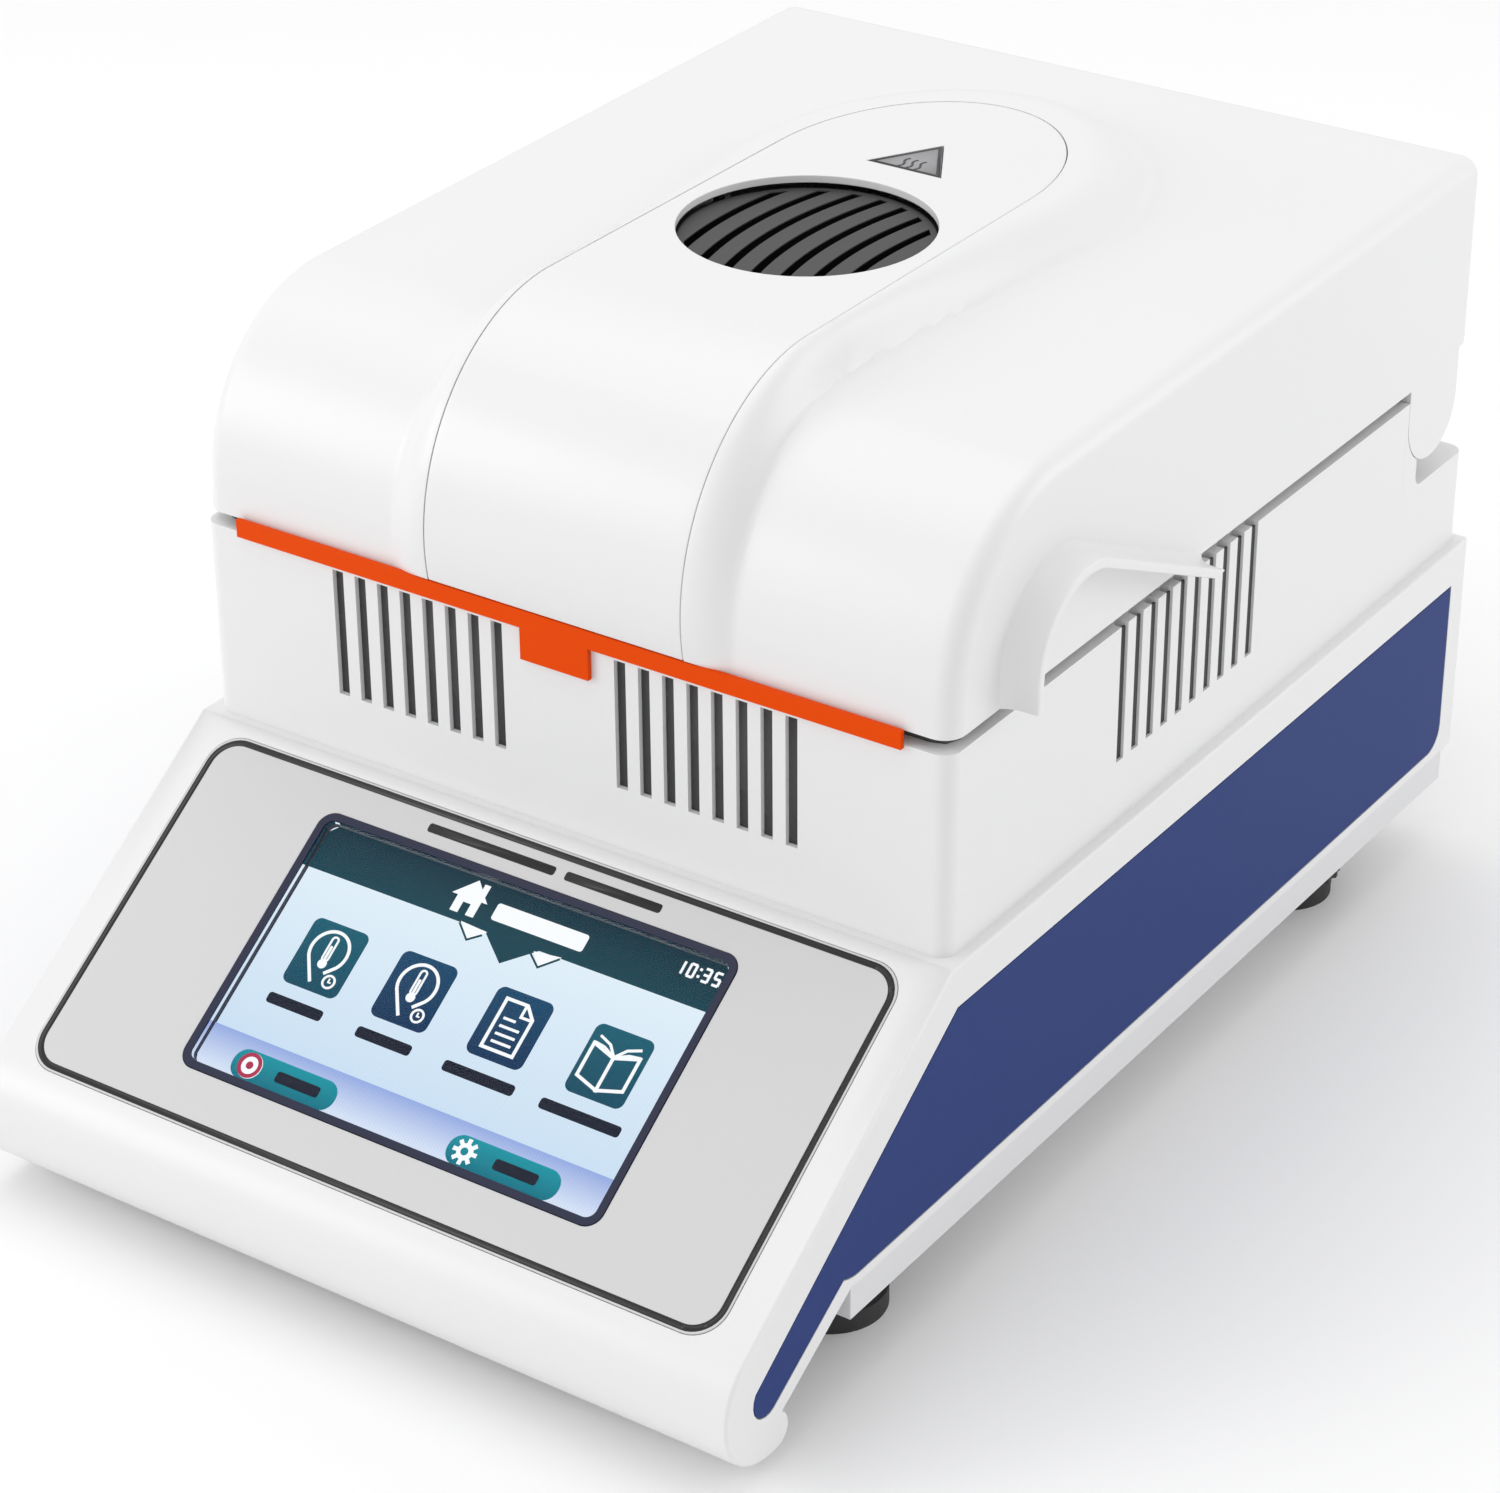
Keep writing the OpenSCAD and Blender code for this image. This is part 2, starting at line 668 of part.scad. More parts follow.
// Triangle with its base to the front, behind the grille
module heat_triangle(r, z) {
    translate([0, front_y + 143, z]) rotate([0, 0, 90]) cylinder(h = 5, r = r, $fn = 3);
}

module heat_mark() color([0.55, 0.55, 0.55]) intersection() {
    heat_triangle(11.5, top_z - 0.6);
    span([-50, 0, 190], [50, 200, top_z]);
}

module vent_grille() color([0.25, 0.25, 0.25]) at_chamber() {
    bend = 100;
    z0 = top_z - 6.5;
    z1 = top_z - 3;
    difference() {
        translate([0, 0, z0]) cylinder(h = z1 - z0, r = grille_r);
        intersection() {
            translate([0, 0, z0 - 1]) cylinder(h = 10, r = grille_r - 1.5);
            union() for (i = [0:grille_gaps - 1])
                translate([(i - (grille_gaps - 1)/2)*7 + bend - 1, 0, 0])
                    tube(bend + 1.2, bend - 1.2, z0 - 1, z1 + 1);
        }
    }
}

module vent_duct() color([0.1, 0.1, 0.1]) at_chamber() {
    tube(grille_r + 2.5, grille_r + 0.5, top_z - 10, top_z - 4.1);
    tube(grille_r + 2.5, grille_r - 1, top_z - 7.5, top_z - 6.5);
}

module trim_strip() color([0.91, 0.31, 0.02]) {
    y0 = front_y - 1.4;
    span([-88.4, y0, seam_z - 2.1], [88.4, front_y - 0.2, seam_z + 2.2]);
    span([-9.1, y0, seam_z - 9.8], [9.1, front_y - 0.2, seam_z - 2]);
    span([-86, front_y - 0.3, seam_z - 0.8], [86, front_y + 3, lid_z - 0.1]);
}

module lid_liner() color([0.88, 0.88, 0.88]) difference() {
    union() {
        translate([0, 0, liner_z]) linear_extrude(liner_t)
            round_rect([-half_t + lid_wall + 0.6, lid_front + lid_wall + 0.8],
                       [half_t - lid_wall - 0.6, liner_rear], 5);
        span([-90, liner_rear - liner_t, liner_z], [90, liner_rear, lid_top - 5]);
    }
    at_chamber() cylinder(h = 200, r = glass_r - 3);
    lid_posts(screw_r + 0.25, 0, 200);
}

module heater_glass() color([0.8, 0.9, 0.95, 0.4]) at_chamber()
    translate([0, 0, glass_z]) cylinder(h = glass_t, r = glass_r);

module glass_retainer() color([0.7, 0.7, 0.72]) at_chamber() {
    tube(glass_r + 5, glass_r + 0.2, glass_z, glass_z + glass_t);
    tube(glass_r + 5, glass_r - 4, glass_z + glass_t, glass_z + glass_t + 1.2);
}

module reflector() color([0.85, 0.85, 0.87]) at_chamber() {
    z = glass_z + glass_t + 1.2;
    difference() {
        rotate_extrude() difference() {
            polygon([[12, 168], [34, 168], [50, 160], [glass_r + 1, z], [glass_r + 5, z],
                     [glass_r + 5, z + 1], [glass_r + 2, z + 1], [51, 161], [34.4, 169], [12, 169]]);
            square([12, 10]);
        }
        both_sides() translate([lamp_end.x, lamp_end.y, 150]) cylinder(h = 40, r = tube_r + 1);
    }
}

// Quartz ring, open at the back, with its two ends turned up
lamp_end = [11, sqrt(lamp_r*lamp_r - 121)];
module halogen_lamp() color([0.95, 0.92, 0.8, 0.7]) at_chamber() {
    difference() {
        rotate_extrude() translate([lamp_r, lamp_z]) circle(tube_r);
        span([-lamp_end.x, 0, lamp_z - 10], [lamp_end.x, 50, lamp_z + 10]);
    }
    both_sides() translate([lamp_end.x, lamp_end.y, lamp_z - tube_r])
        cylinder(h = tube_r + 18, r = tube_r + 0.3);
}

module lamp_holders() color([0.93, 0.9, 0.82]) at_chamber() both_sides()
    translate([lamp_end.x, lamp_end.y, 0]) difference() {
        span([-8, -8, 172], [8, 8, 184]);
        translate([0, 0, 170]) cylinder(h = 4 + eps, r = tube_r + 0.35);
    }

module temperature_probe() color([0.7, 0.7, 0.72]) at_chamber() {
    span([-5, 62, liner_z - 4], [5, 72, liner_z]);
    y_rod(36, 63, 0, liner_z - 2, 1.2);
}

module hinge_bushes() color([0.8, 0.7, 0.3]) both_sides()
    translate([half_t - ear_t, pivot_y, pivot_z]) rotate([0, 90, 0]) tube(5.5, shaft_r + fit, 0, 6);

module lid_screws() color([0.6, 0.6, 0.62]) {
    lid_posts(3, liner_z - 1.2, liner_z - 0.05);
    lid_posts(screw_r, liner_z - 0.1, liner_z + 14);
}

// ---------- weighing pan ----------

module pan_stem() color([0.7, 0.7, 0.72]) at_chamber() {
    translate([0, 0, cell_z + cell_h + 0.6]) cylinder(h = 3, r = 9);
    translate([0, 0, cell_z + cell_h + 3]) cylinder(h = 104 - cell_z - cell_h - 3, r = stem_r);
    translate([0, 0, 103.9]) cylinder(h = 7, r = 2.5);
}

module pan_support() color([0.75, 0.75, 0.77]) at_chamber() difference() {
    union() {
        translate([0, 0, 104]) cylinder(h = 8, r = 8);
        for (a = [0:120:240]) rotate([0, 0, a + 90]) {
            span([0, -3, 109], [40, 3, 112]);
            span([36, -3, 109], [40, 3, 115]);
        }
    }
    translate([0, 0, 103]) cylinder(h = 8, r = 2.5 + fit);
}

module sample_pan() color([0.8, 0.8, 0.82]) at_chamber() rotate_extrude() {
    translate([0, 115]) square([pan_r, 0.8]);
    translate([pan_r - 0.8, 115]) square([0.8, 7.3]);
    translate([pan_r - 0.8, 121.5]) square([5, 0.8]);
}

module pan_handler() color([0.3, 0.3, 0.32]) {
    at_chamber() tube(56, 46, 115.5, 117);
    span([-9, chamber_y - 57, 115.5], [9, chamber_y - 55.2, 133.8]);
    span([-9, chamber_y - 88, 132.5], [9, chamber_y - 55.2, 133.8]);
    span([-9, chamber_y - 88, 132.5], [9, chamber_y - 86.6, 135.3]);
}

base_shell();
base_plate();
side_panel_left();
side_panel_right();
control_overlay();
screen_frame();
touch_glass();
display_module();
display_board();
main_board();
power_supply();
heatsink();
load_cell();
load_cell_block();
tower_shell();
chamber_deck();
chamber_floor();
draft_shield();
hinge_shaft();
hinge_brackets();
hinge_cover();
lid_switch();
level_housing();
level_vial();
rear_panel();
mains_inlet();
inlet_pins();
switch_frame();
serial_port();
usb_port();
front_feet();
foot_nuts();
case_screws();
lid_shell();
lid_centre_panel();
vent_grille();
vent_duct();
heat_mark();
trim_strip();
lid_liner();
reflector();
halogen_lamp();
lamp_holders();
heater_glass();
glass_retainer();
temperature_probe();
hinge_bushes();
lid_screws();
pan_stem();
pan_support();
sample_pan();
pan_handler();
switch_plunger();
power_rocker();
fuse_drawer();
foot_pad_left();
foot_screw_left();
foot_pad_right();
foot_screw_right();
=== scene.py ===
# %% [markdown]
# # A grain moisture meter
# The real object is a small laboratory instrument: a wedge-shaped base with a touch screen, a
# slotted tower with a weighing pan in it, and a heater lid that swings up at the back.
# The frame holds every solid at its real size and place. This lesson keeps the solids whose shape
# is already right, gives each a finish, and builds smoother shells where light shows more.

# %% Load the frame
import bisect
import json
import math
import bmesh
import bpy
from mathutils import Matrix, Vector
from mathutils.geometry import delaunay_2d_cdt


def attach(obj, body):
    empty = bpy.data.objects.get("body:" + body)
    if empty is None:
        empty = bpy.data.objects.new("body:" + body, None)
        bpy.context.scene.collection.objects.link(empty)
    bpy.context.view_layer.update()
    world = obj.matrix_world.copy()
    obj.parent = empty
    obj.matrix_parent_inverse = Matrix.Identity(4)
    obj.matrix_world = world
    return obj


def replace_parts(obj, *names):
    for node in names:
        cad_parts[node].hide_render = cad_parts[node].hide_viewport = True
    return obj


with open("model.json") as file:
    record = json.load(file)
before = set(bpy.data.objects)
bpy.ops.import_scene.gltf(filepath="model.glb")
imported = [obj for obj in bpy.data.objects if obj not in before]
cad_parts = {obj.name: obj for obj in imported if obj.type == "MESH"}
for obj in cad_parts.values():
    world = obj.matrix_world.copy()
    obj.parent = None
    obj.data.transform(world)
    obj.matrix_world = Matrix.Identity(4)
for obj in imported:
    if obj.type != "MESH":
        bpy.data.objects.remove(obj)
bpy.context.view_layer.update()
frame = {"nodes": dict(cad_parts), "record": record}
MM = 0.001

# %% [markdown]
# ## The camera and the studio
# A product picture needs a plain floor, a big soft light above and a weaker one on each side.
# A long lens keeps the upright edges nearly parallel. The camera's three axes are written out as
# a matrix, because that says exactly where right, up and back are.

# %% Camera
CAMERA_AT = Vector((0.49270, -0.72087, 0.56083))
CAMERA_RIGHT = (0.82618539, 0.56336255, -0.00635143)
CAMERA_UP = (-0.2711465, 0.40747462, 0.87203441)
CAMERA_BACK = (0.49385957, -0.71873992, 0.48940336)
SENSOR_MM, LENS_MM = 36, 102.28

camera = bpy.data.objects.new("camera", bpy.data.cameras.new("camera"))
bpy.context.scene.collection.objects.link(camera)
axes = Matrix((CAMERA_RIGHT, CAMERA_UP, CAMERA_BACK)).transposed()
camera.matrix_world = Matrix.Translation(CAMERA_AT) @ axes.to_4x4()
camera.data.sensor_width, camera.data.lens = SENSOR_MM, LENS_MM
camera.data.clip_start, camera.data.clip_end = 0.02, 50
bpy.context.scene.camera = camera
print("camera looks at the object from", round(CAMERA_AT.length, 2), "m")

# %% Floor, daylight and lamps
FLOOR_HALF = 6
DAYLIGHT = 0.78
LIT_POINT = Vector((0, 0, 0.1))
LAMPS = {"top_light": ((-0.25, 0.10, 1.25), 1.1, 4.0),
         "front_light": ((-1.15, -1.1, 0.7), 0.8, 6.8),
         "side_light": ((1.15, 0.95, 0.62), 0.8, 4.6)}

def soft_lamp(name, place, size, watts):
    """A square area light that points at the object's middle."""
    data = bpy.data.lights.new(name, "AREA")
    data.energy, data.size = watts, size
    lamp = bpy.data.objects.new(name, data)
    bpy.context.scene.collection.objects.link(lamp)
    lamp.location = place
    lamp.rotation_euler = (LIT_POINT - Vector(place)).to_track_quat("-Z", "Y").to_euler()

floor_mesh = bpy.data.meshes.new("floor")
floor_mesh.from_pydata([(x * FLOOR_HALF, y * FLOOR_HALF, 0)
                        for x, y in ((-1, -1), (1, -1), (1, 1), (-1, 1))], [], [(0, 1, 2, 3)])
floor = bpy.data.objects.new("floor", floor_mesh)
bpy.context.scene.collection.objects.link(floor)

world = bpy.data.worlds.new("studio")
world.use_nodes = True
sky = world.node_tree.nodes["Background"]
sky.inputs["Color"].default_value = (1, 1, 1, 1)
sky.inputs["Strength"].default_value = DAYLIGHT
bpy.context.scene.world = world
bpy.context.scene.view_settings.view_transform = "Standard"

for name, (place, size, watts) in LAMPS.items():
    soft_lamp(name, place, size, watts)
print("lamps:", len(LAMPS))

# %% [markdown]
# ## Surface effects shared by several finishes
# Moulded plastic is never perfectly smooth: the steel mould leaves a fine grain, and the gloss
# drifts a little over a large face. Both effects are node groups with named inputs, so that each
# material can place the same effect with its own values.

# %% A helper for node groups
def new_group(name, inputs, outputs):
    """A shader node group with its sockets: (name, kind, default) in, (name, kind) out."""
    group = bpy.data.node_groups.new(name, "ShaderNodeTree")
    for label, kind, default in inputs:
        socket = group.interface.new_socket(name=label, in_out="INPUT", socket_type=kind)
        socket.default_value = default
    for label, kind in outputs:
        group.interface.new_socket(name=label, in_out="OUTPUT", socket_type=kind)
    start = group.nodes.new("NodeGroupInput")
    end = group.nodes.new("NodeGroupOutput")
    return group, start, end

def placed(group, kind):
    """A node that follows the object's own coordinates."""
    node = group.nodes.new(kind)
    source = group.nodes.new("ShaderNodeTexCoord")
    group.links.new(source.outputs["Object"], node.inputs["Vector"])
    return node

def math_node(group, kind, a, b):
    """A Math node whose two inputs are sockets or numbers."""
    node = group.nodes.new("ShaderNodeMath")
    node.operation = kind
    for socket, value in zip(node.inputs, (a, b)):
        if isinstance(value, (int, float)):
            socket.default_value = value
        else:
            group.links.new(value, socket)
    return node.outputs[0]

def shaded(group, color, factor):
    """A colour made lighter or darker by a factor near 1."""
    node = group.nodes.new("ShaderNodeVectorMath")
    node.operation = "SCALE"
    group.links.new(color, node.inputs[0])
    group.links.new(factor, node.inputs["Scale"])
    return node.outputs[0]

FLOAT, COLOR = "NodeSocketFloat", "NodeSocketColor"

# %% Mould grain
grain, grain_in, grain_out = new_group(
    "mould_grain",
    [("Scale", FLOAT, 2500.0), ("Roughness", FLOAT, 0.45), ("Drift", FLOAT, 0.06),
     ("Color", COLOR, (1, 1, 1, 1)), ("Shade", FLOAT, 0.02)],
    [("Height", FLOAT), ("Roughness", FLOAT), ("Color", COLOR)])
fine = placed(grain, "ShaderNodeTexNoise")
broad = placed(grain, "ShaderNodeTexNoise")
fine.inputs["Detail"].default_value = 3
broad.inputs["Scale"].default_value = 14
broad.inputs["Detail"].default_value = 4
grain.links.new(grain_in.outputs["Scale"], fine.inputs["Scale"])
centred = math_node(grain, "SUBTRACT", broad.outputs["Fac"], 0.5)
drift = math_node(grain, "MULTIPLY", centred, grain_in.outputs["Drift"])
rough = math_node(grain, "ADD", grain_in.outputs["Roughness"], drift)
shade = math_node(grain, "MULTIPLY", centred, grain_in.outputs["Shade"])
light = math_node(grain, "ADD", shade, 1.0)
grain.links.new(fine.outputs["Fac"], grain_out.inputs["Height"])
grain.links.new(rough, grain_out.inputs["Roughness"])
grain.links.new(shaded(grain, grain_in.outputs["Color"], light), grain_out.inputs["Color"])
print("group:", grain.name)

# %% Brushed metal
brush, brush_in, brush_out = new_group(
    "brushed_metal",
    [("Lines", FLOAT, 900.0), ("Roughness", FLOAT, 0.3), ("Spread", FLOAT, 0.15),
     ("Color", COLOR, (1, 1, 1, 1))],
    [("Height", FLOAT), ("Roughness", FLOAT), ("Color", COLOR)])
stretch = placed(brush, "ShaderNodeMapping")
stretch.inputs["Scale"].default_value = (0.03, 1, 1)
lines = brush.nodes.new("ShaderNodeTexNoise")
lines.inputs["Detail"].default_value = 4
brush.links.new(stretch.outputs["Vector"], lines.inputs["Vector"])
brush.links.new(brush_in.outputs["Lines"], lines.inputs["Scale"])
centred = math_node(brush, "SUBTRACT", lines.outputs["Fac"], 0.5)
spread = math_node(brush, "MULTIPLY", centred, brush_in.outputs["Spread"])
rough = math_node(brush, "ADD", brush_in.outputs["Roughness"], spread)
light = math_node(brush, "ADD", math_node(brush, "MULTIPLY", centred, 0.12), 1.0)
brush.links.new(lines.outputs["Fac"], brush_out.inputs["Height"])
brush.links.new(rough, brush_out.inputs["Roughness"])
brush.links.new(shaded(brush, brush_in.outputs["Color"], light), brush_out.inputs["Color"])
print("group:", brush.name)

# %% [markdown]
# ## Finishes
# Each material is a Principled shader fed by one of the two groups. Plastic, film and rubber take
# the mould grain; steel and aluminium take the brush lines. Numbers that are the same all over a
# surface, such as coat weight, are set on the shader itself.

# %% Material makers
def shader_of(material):
    return material.node_tree.nodes["Principled BSDF"]

def with_effect(name, group, values):
    """A material with a group placed in it: (material, node tree, shader, group node)."""
    material = bpy.data.materials.new(name)
    material.use_nodes = True
    effect = material.node_tree.nodes.new("ShaderNodeGroup")
    effect.node_tree = group
    for label, value in values.items():
        effect.inputs[label].default_value = value
    return material, material.node_tree, shader_of(material), effect

def emboss(tree, shader, effect, strength, depth_mm):
    """Turns the group's height into bumps on the shader."""
    relief = tree.nodes.new("ShaderNodeBump")
    relief.inputs["Strength"].default_value = strength
    relief.inputs["Distance"].default_value = depth_mm * MM
    tree.links.new(effect.outputs["Height"], relief.inputs["Height"])
    tree.links.new(relief.outputs["Normal"], shader.inputs["Normal"])

def textured(name, group, color, values, bump, bump_mm=0.02, **fixed):
    """A material whose colour, gloss and bump come from a shared group."""
    material, tree, shader, effect = with_effect(name, group, {"Color": (*color, 1), **values})
    emboss(tree, shader, effect, bump, bump_mm)
    tree.links.new(effect.outputs["Roughness"], shader.inputs["Roughness"])
    tree.links.new(effect.outputs["Color"], shader.inputs["Base Color"])
    for label, value in fixed.items():
        shader.inputs[label.replace("_", " ")].default_value = value
    return material

def plastic(name, color, roughness=0.42, bump=0.25, scale=2500.0, shade=0.02, **fixed):
    values = {"Scale": scale, "Roughness": roughness, "Drift": 0.08, "Shade": shade}
    return textured(name, grain, color, values, bump, **fixed)

def metal(name, color, roughness=0.3, spread=0.15, lines=900.0, bump=0.1):
    values = {"Lines": lines, "Roughness": roughness, "Spread": spread}
    return textured(name, brush, color, values, bump, 0.01, Metallic=1.0)

def clear(name, color, roughness=0.02, ior=1.45):
    """Glass: plain values only, so that it stays clear everywhere."""
    values = {"Scale": 60.0, "Roughness": roughness, "Drift": 0.01, "Shade": 0.0}
    return textured(name, grain, color, values, 0.01, Transmission_Weight=1.0, IOR=ior)

# %% The finishes of this instrument
FINISH = {
    "body_white": plastic("white_case", (0.80, 0.80, 0.804), 0.38, 0.22,
                          Coat_Weight=0.12, Coat_Roughness=0.25),
    "panel_white": plastic("white_panel", (0.80, 0.80, 0.804), 0.36, 0.2,
                           Coat_Weight=0.15, Coat_Roughness=0.2),
    "side_blue": plastic("blue_inlay", (0.020, 0.043, 0.180), 0.5, 0.3, Specular_IOR_Level=0.12),
    "overlay_grey": plastic("grey_film", (0.625, 0.625, 0.632), 0.5, 0.35, 4000.0),
    "screen_frame": plastic("screen_border", (0.020, 0.024, 0.055), 0.35, 0.1,
                            Specular_IOR_Level=0.3),
    "screen_glass": clear("touch_glass_clear", (0.98, 0.99, 1.0), 0.02, 1.22),
    "screen_module": metal("display_can", (0.62, 0.62, 0.64)),
    "circuit_board": plastic("circuit_board", (0.02, 0.13, 0.05), 0.35, 0.4, 300.0, 0.3),
    "component": plastic("wound_components", (0.42, 0.30, 0.05), 0.4, 0.5, 400.0, 0.4),
    "aluminium": metal("aluminium_part", (0.75, 0.75, 0.77), 0.35),
    "steel": metal("steel_part", (0.58, 0.58, 0.60), 0.3),
    "bright_steel": metal("bright_reflector", (0.86, 0.86, 0.88), 0.16, 0.08),
    "tray_grey": plastic("tray_paint", (0.72, 0.72, 0.73), 0.5, 0.4, 1500.0),
    "deck_grey": plastic("deck_paint", (0.60, 0.60, 0.62), 0.5, 0.4, 1500.0),
    "black_plastic": plastic("black_plastic", (0.025, 0.025, 0.027), 0.45, 0.4, 1800.0, 0.1),
    "grille_black": plastic("grille_paint", (0.047, 0.047, 0.048), 0.5, 0.8, 900.0, 0.25),
    "mark_grey": plastic("mark_film", (0.33, 0.33, 0.34), 0.5, 0.4),
    "trim_orange": plastic("orange_trim", (0.79, 0.068, 0.0), 0.5, 0.2, Specular_IOR_Level=0.06),
    "quartz": clear("quartz_tube", (1.0, 0.985, 0.95), 0.05, 1.46),
    "heater_glass": clear("heater_window", (0.93, 0.98, 0.97), 0.02, 1.47),
    "ceramic": plastic("ceramic_holder", (0.80, 0.76, 0.66), 0.6, 0.5, 700.0, 0.08),
    "brass": metal("brass_part", (0.78, 0.58, 0.26), 0.3),
    "rubber": plastic("foot_rubber", (0.03, 0.03, 0.032), 0.75, 0.7, 900.0, 0.15),
    "level_liquid": clear("level_liquid", (0.70, 0.92, 0.25), 0.03, 1.35),
    "rocker_red": plastic("red_switch", (0.50, 0.015, 0.015), 0.3, 0.1, Coat_Weight=0.2),
    "pan_aluminium": metal("pan_aluminium", (0.84, 0.84, 0.85), 0.24, 0.1, 1400.0),
}
floor.data.materials.append(plastic("floor_paper", (0.94, 0.94, 0.94), 0.8, 0.2, 300.0, 0.01))
print("finishes:", len(FINISH))

# %% [markdown]
# ## Putting the finishes on the frame's own solids
# Real moulded and machined edges are never knife sharp. A Bevel modifier that works only on
# edges over 35 degrees rounds them by a few tenths of a millimetre, and weighted normals keep
# the flat faces looking flat. The solids themselves aren't touched.

# %% Edge softening
EDGE_ANGLE, MOULDED_ANGLE = 35, 50

def soften(piece, width_mm, angle=EDGE_ANGLE):
    """Rounds the sharp edges of a piece and smooths its shading."""
    for face in piece.data.polygons:
        face.use_smooth = True
    bevel = piece.modifiers.new("rounded_edges", "BEVEL")
    bevel.width, bevel.segments = width_mm * MM, 2
    bevel.limit_method, bevel.angle_limit = "ANGLE", math.radians(angle)
    weigh = piece.modifiers.new("flat_faces", "WEIGHTED_NORMAL")
    weigh.keep_sharp = True
    weigh.weight = 80
    return piece

slot_of = {row["node"]: row["material_slot"] for row in frame["record"]["subparts"]}
EDGE_MM = {"heater_glass": 0.4, "front_feet": 0.8, "foot_pad_left": 0.8, "foot_pad_right": 0.8,
           "sample_pan": 0.2, "inlet_pins": 0.15, "touch_glass": 0.1, "control_overlay": 0.1,
           "heat_mark": 0.05, "side_panel_left": 0.15, "side_panel_right": 0.15}
for name, node in frame["nodes"].items():
    node.data.materials.clear()
    node.data.materials.append(FINISH[slot_of[name]])
    soften(node, EDGE_MM.get(name, 0.3))
print("nodes finished:", len(slot_of))

# %% [markdown]
# ## Tools for new pieces
# The frame's solids are exact but plain where two soft shapes should flow into each other. A
# replacement piece is a mesh of its own: it is given a finish, rides on the same body, and hides
# the solids it stands for. All the numbers below are millimetres until the mesh is made.

# %% Making, riding and finishing a piece
def piece_from(name, points, faces, slot, body, stands_for=(), finish=None):
    """A mesh piece from points in millimetres, with a finish and a body to ride on."""
    mesh = bpy.data.meshes.new(name)
    mesh.from_pydata([tuple(value * MM for value in point) for point in points], [], faces)
    mesh.validate()
    tidy_up = bmesh.new()
    tidy_up.from_mesh(mesh)
    bmesh.ops.remove_doubles(tidy_up, verts=tidy_up.verts, dist=1e-7)
    tidy_up.to_mesh(mesh)
    tidy_up.free()
    piece = bpy.data.objects.new(name, mesh)
    bpy.context.scene.collection.objects.link(piece)
    mesh.materials.append(finish or FINISH[slot])
    for face in mesh.polygons:
        face.use_smooth = True
    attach(piece, body)
    if stands_for:
        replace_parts(piece, *stands_for)
    return piece

def thicken(piece, wall_mm):
    """Gives an open sheet a wall on its inner side."""
    wall = piece.modifiers.new("wall", "SOLIDIFY")
    wall.thickness, wall.offset = wall_mm * MM, -1
    wall.use_even_offset = True
    return piece

def steps(low, high, size):
    """Evenly spaced numbers from low to high, no further apart than size."""
    count = max(1, math.ceil((high - low) / size - 1e-6))
    return [low + (high - low) * i / count for i in range(count + 1)]

def patch(grid, loops, keep):
    """Triangles over flat points. Each loop stays an edge line; keep(x, y) says what remains."""
    flat = [Vector(point) for point in grid]
    edges = []
    for loop, closed in loops:
        first = len(flat)
        flat += [Vector(point) for point in loop]
        last = len(flat) - 1
        edges += [(i, i + 1) for i in range(first, last)]
        if closed:
            edges.append((last, first))
    points, _, triangles, *_ = delaunay_2d_cdt(flat, edges, [], 0, 1e-5)
    kept = [tri for tri in triangles
            if keep(*(sum((points[i] for i in tri), Vector((0, 0))) / 3))]
    used = sorted({i for tri in kept for i in tri})
    number = {old: new for new, old in enumerate(used)}
    return [points[i] for i in used], [tuple(number[i] for i in tri) for tri in kept]

print("a 10 mm span in 4 mm steps:", steps(0, 10, 4))

# %% [markdown]
# ## The lid
# The lid is one moulded shell: a long quarter round at the front, a nearly level top, and a raised
# middle that melts into it. Two side profiles describe it. The first is the lid itself, the second
# the raised middle, and a weight between 0 and 1 moves each point from one to the other, so the
# two forms share one skin, with a soft crease only at the foot of the slope. The skin is flattened
# to (across, along) numbers, triangulated there, and then bent into place.

# %% The two profiles of the lid
LID_HALF = 99.5
EDGE_ROUND = 5.0
FLAT_HALF = LID_HALF - EDGE_ROUND
SIDE_REACH = FLAT_HALF + EDGE_ROUND * math.pi / 2
FRONT_Y, FRONT_RADIUS = -33.75, 42
TOP_RISE, TOP_RUN = 2, 190.5
REAR_Y = FRONT_Y + TOP_RUN

def arc_stations(cy, cz, radius, start, stop, count):
    """Points on an arc in the side view, each with its outward direction."""
    out = []
    for i in range(count + 1):
        angle = math.radians(start + (stop - start) * i / count)
        out.append((cy + radius * math.cos(angle), cz + radius * math.sin(angle),
                    math.cos(angle), math.sin(angle)))
    return out

stations = [(-76.15, 137.5, -1, 0), (-75.95, 140.5, -1, 0)]
stations += arc_stations(FRONT_Y, 143.5, FRONT_RADIUS, 180, 90, 36)
front_end = len(stations) - 1
stations += [(y, 185.5 + TOP_RISE * (y - FRONT_Y) / TOP_RUN, 0, 1)
             for y in steps(FRONT_Y, REAR_Y, 2.5)[1:]]
stations += arc_stations(REAR_Y, 182.5, EDGE_ROUND, 90, 0, 7)[1:]
stations += [(161.75, z, 1, 0) for z in (172, 161, 150, 140)]
station_y, station_z, station_ny, station_nz = (list(column) for column in zip(*stations))
along = [0.0]
for (y0, z0, *_), (y1, z1, *_) in zip(stations, stations[1:]):
    along.append(along[-1] + math.hypot(y1 - y0, z1 - z0))
FRONT_LENGTH, FULL_LENGTH = along[front_end], along[-1]

def at_station(column, s):
    """The value of a column at a distance s along the lid, between its stations."""
    i = min(max(bisect.bisect_right(along, s) - 1, 0), len(along) - 2)
    share = (s - along[i]) / (along[i + 1] - along[i])
    return column[i] + (column[i + 1] - column[i]) * share

print("length of the lid's skin, front to back:", round(FULL_LENGTH), "mm")

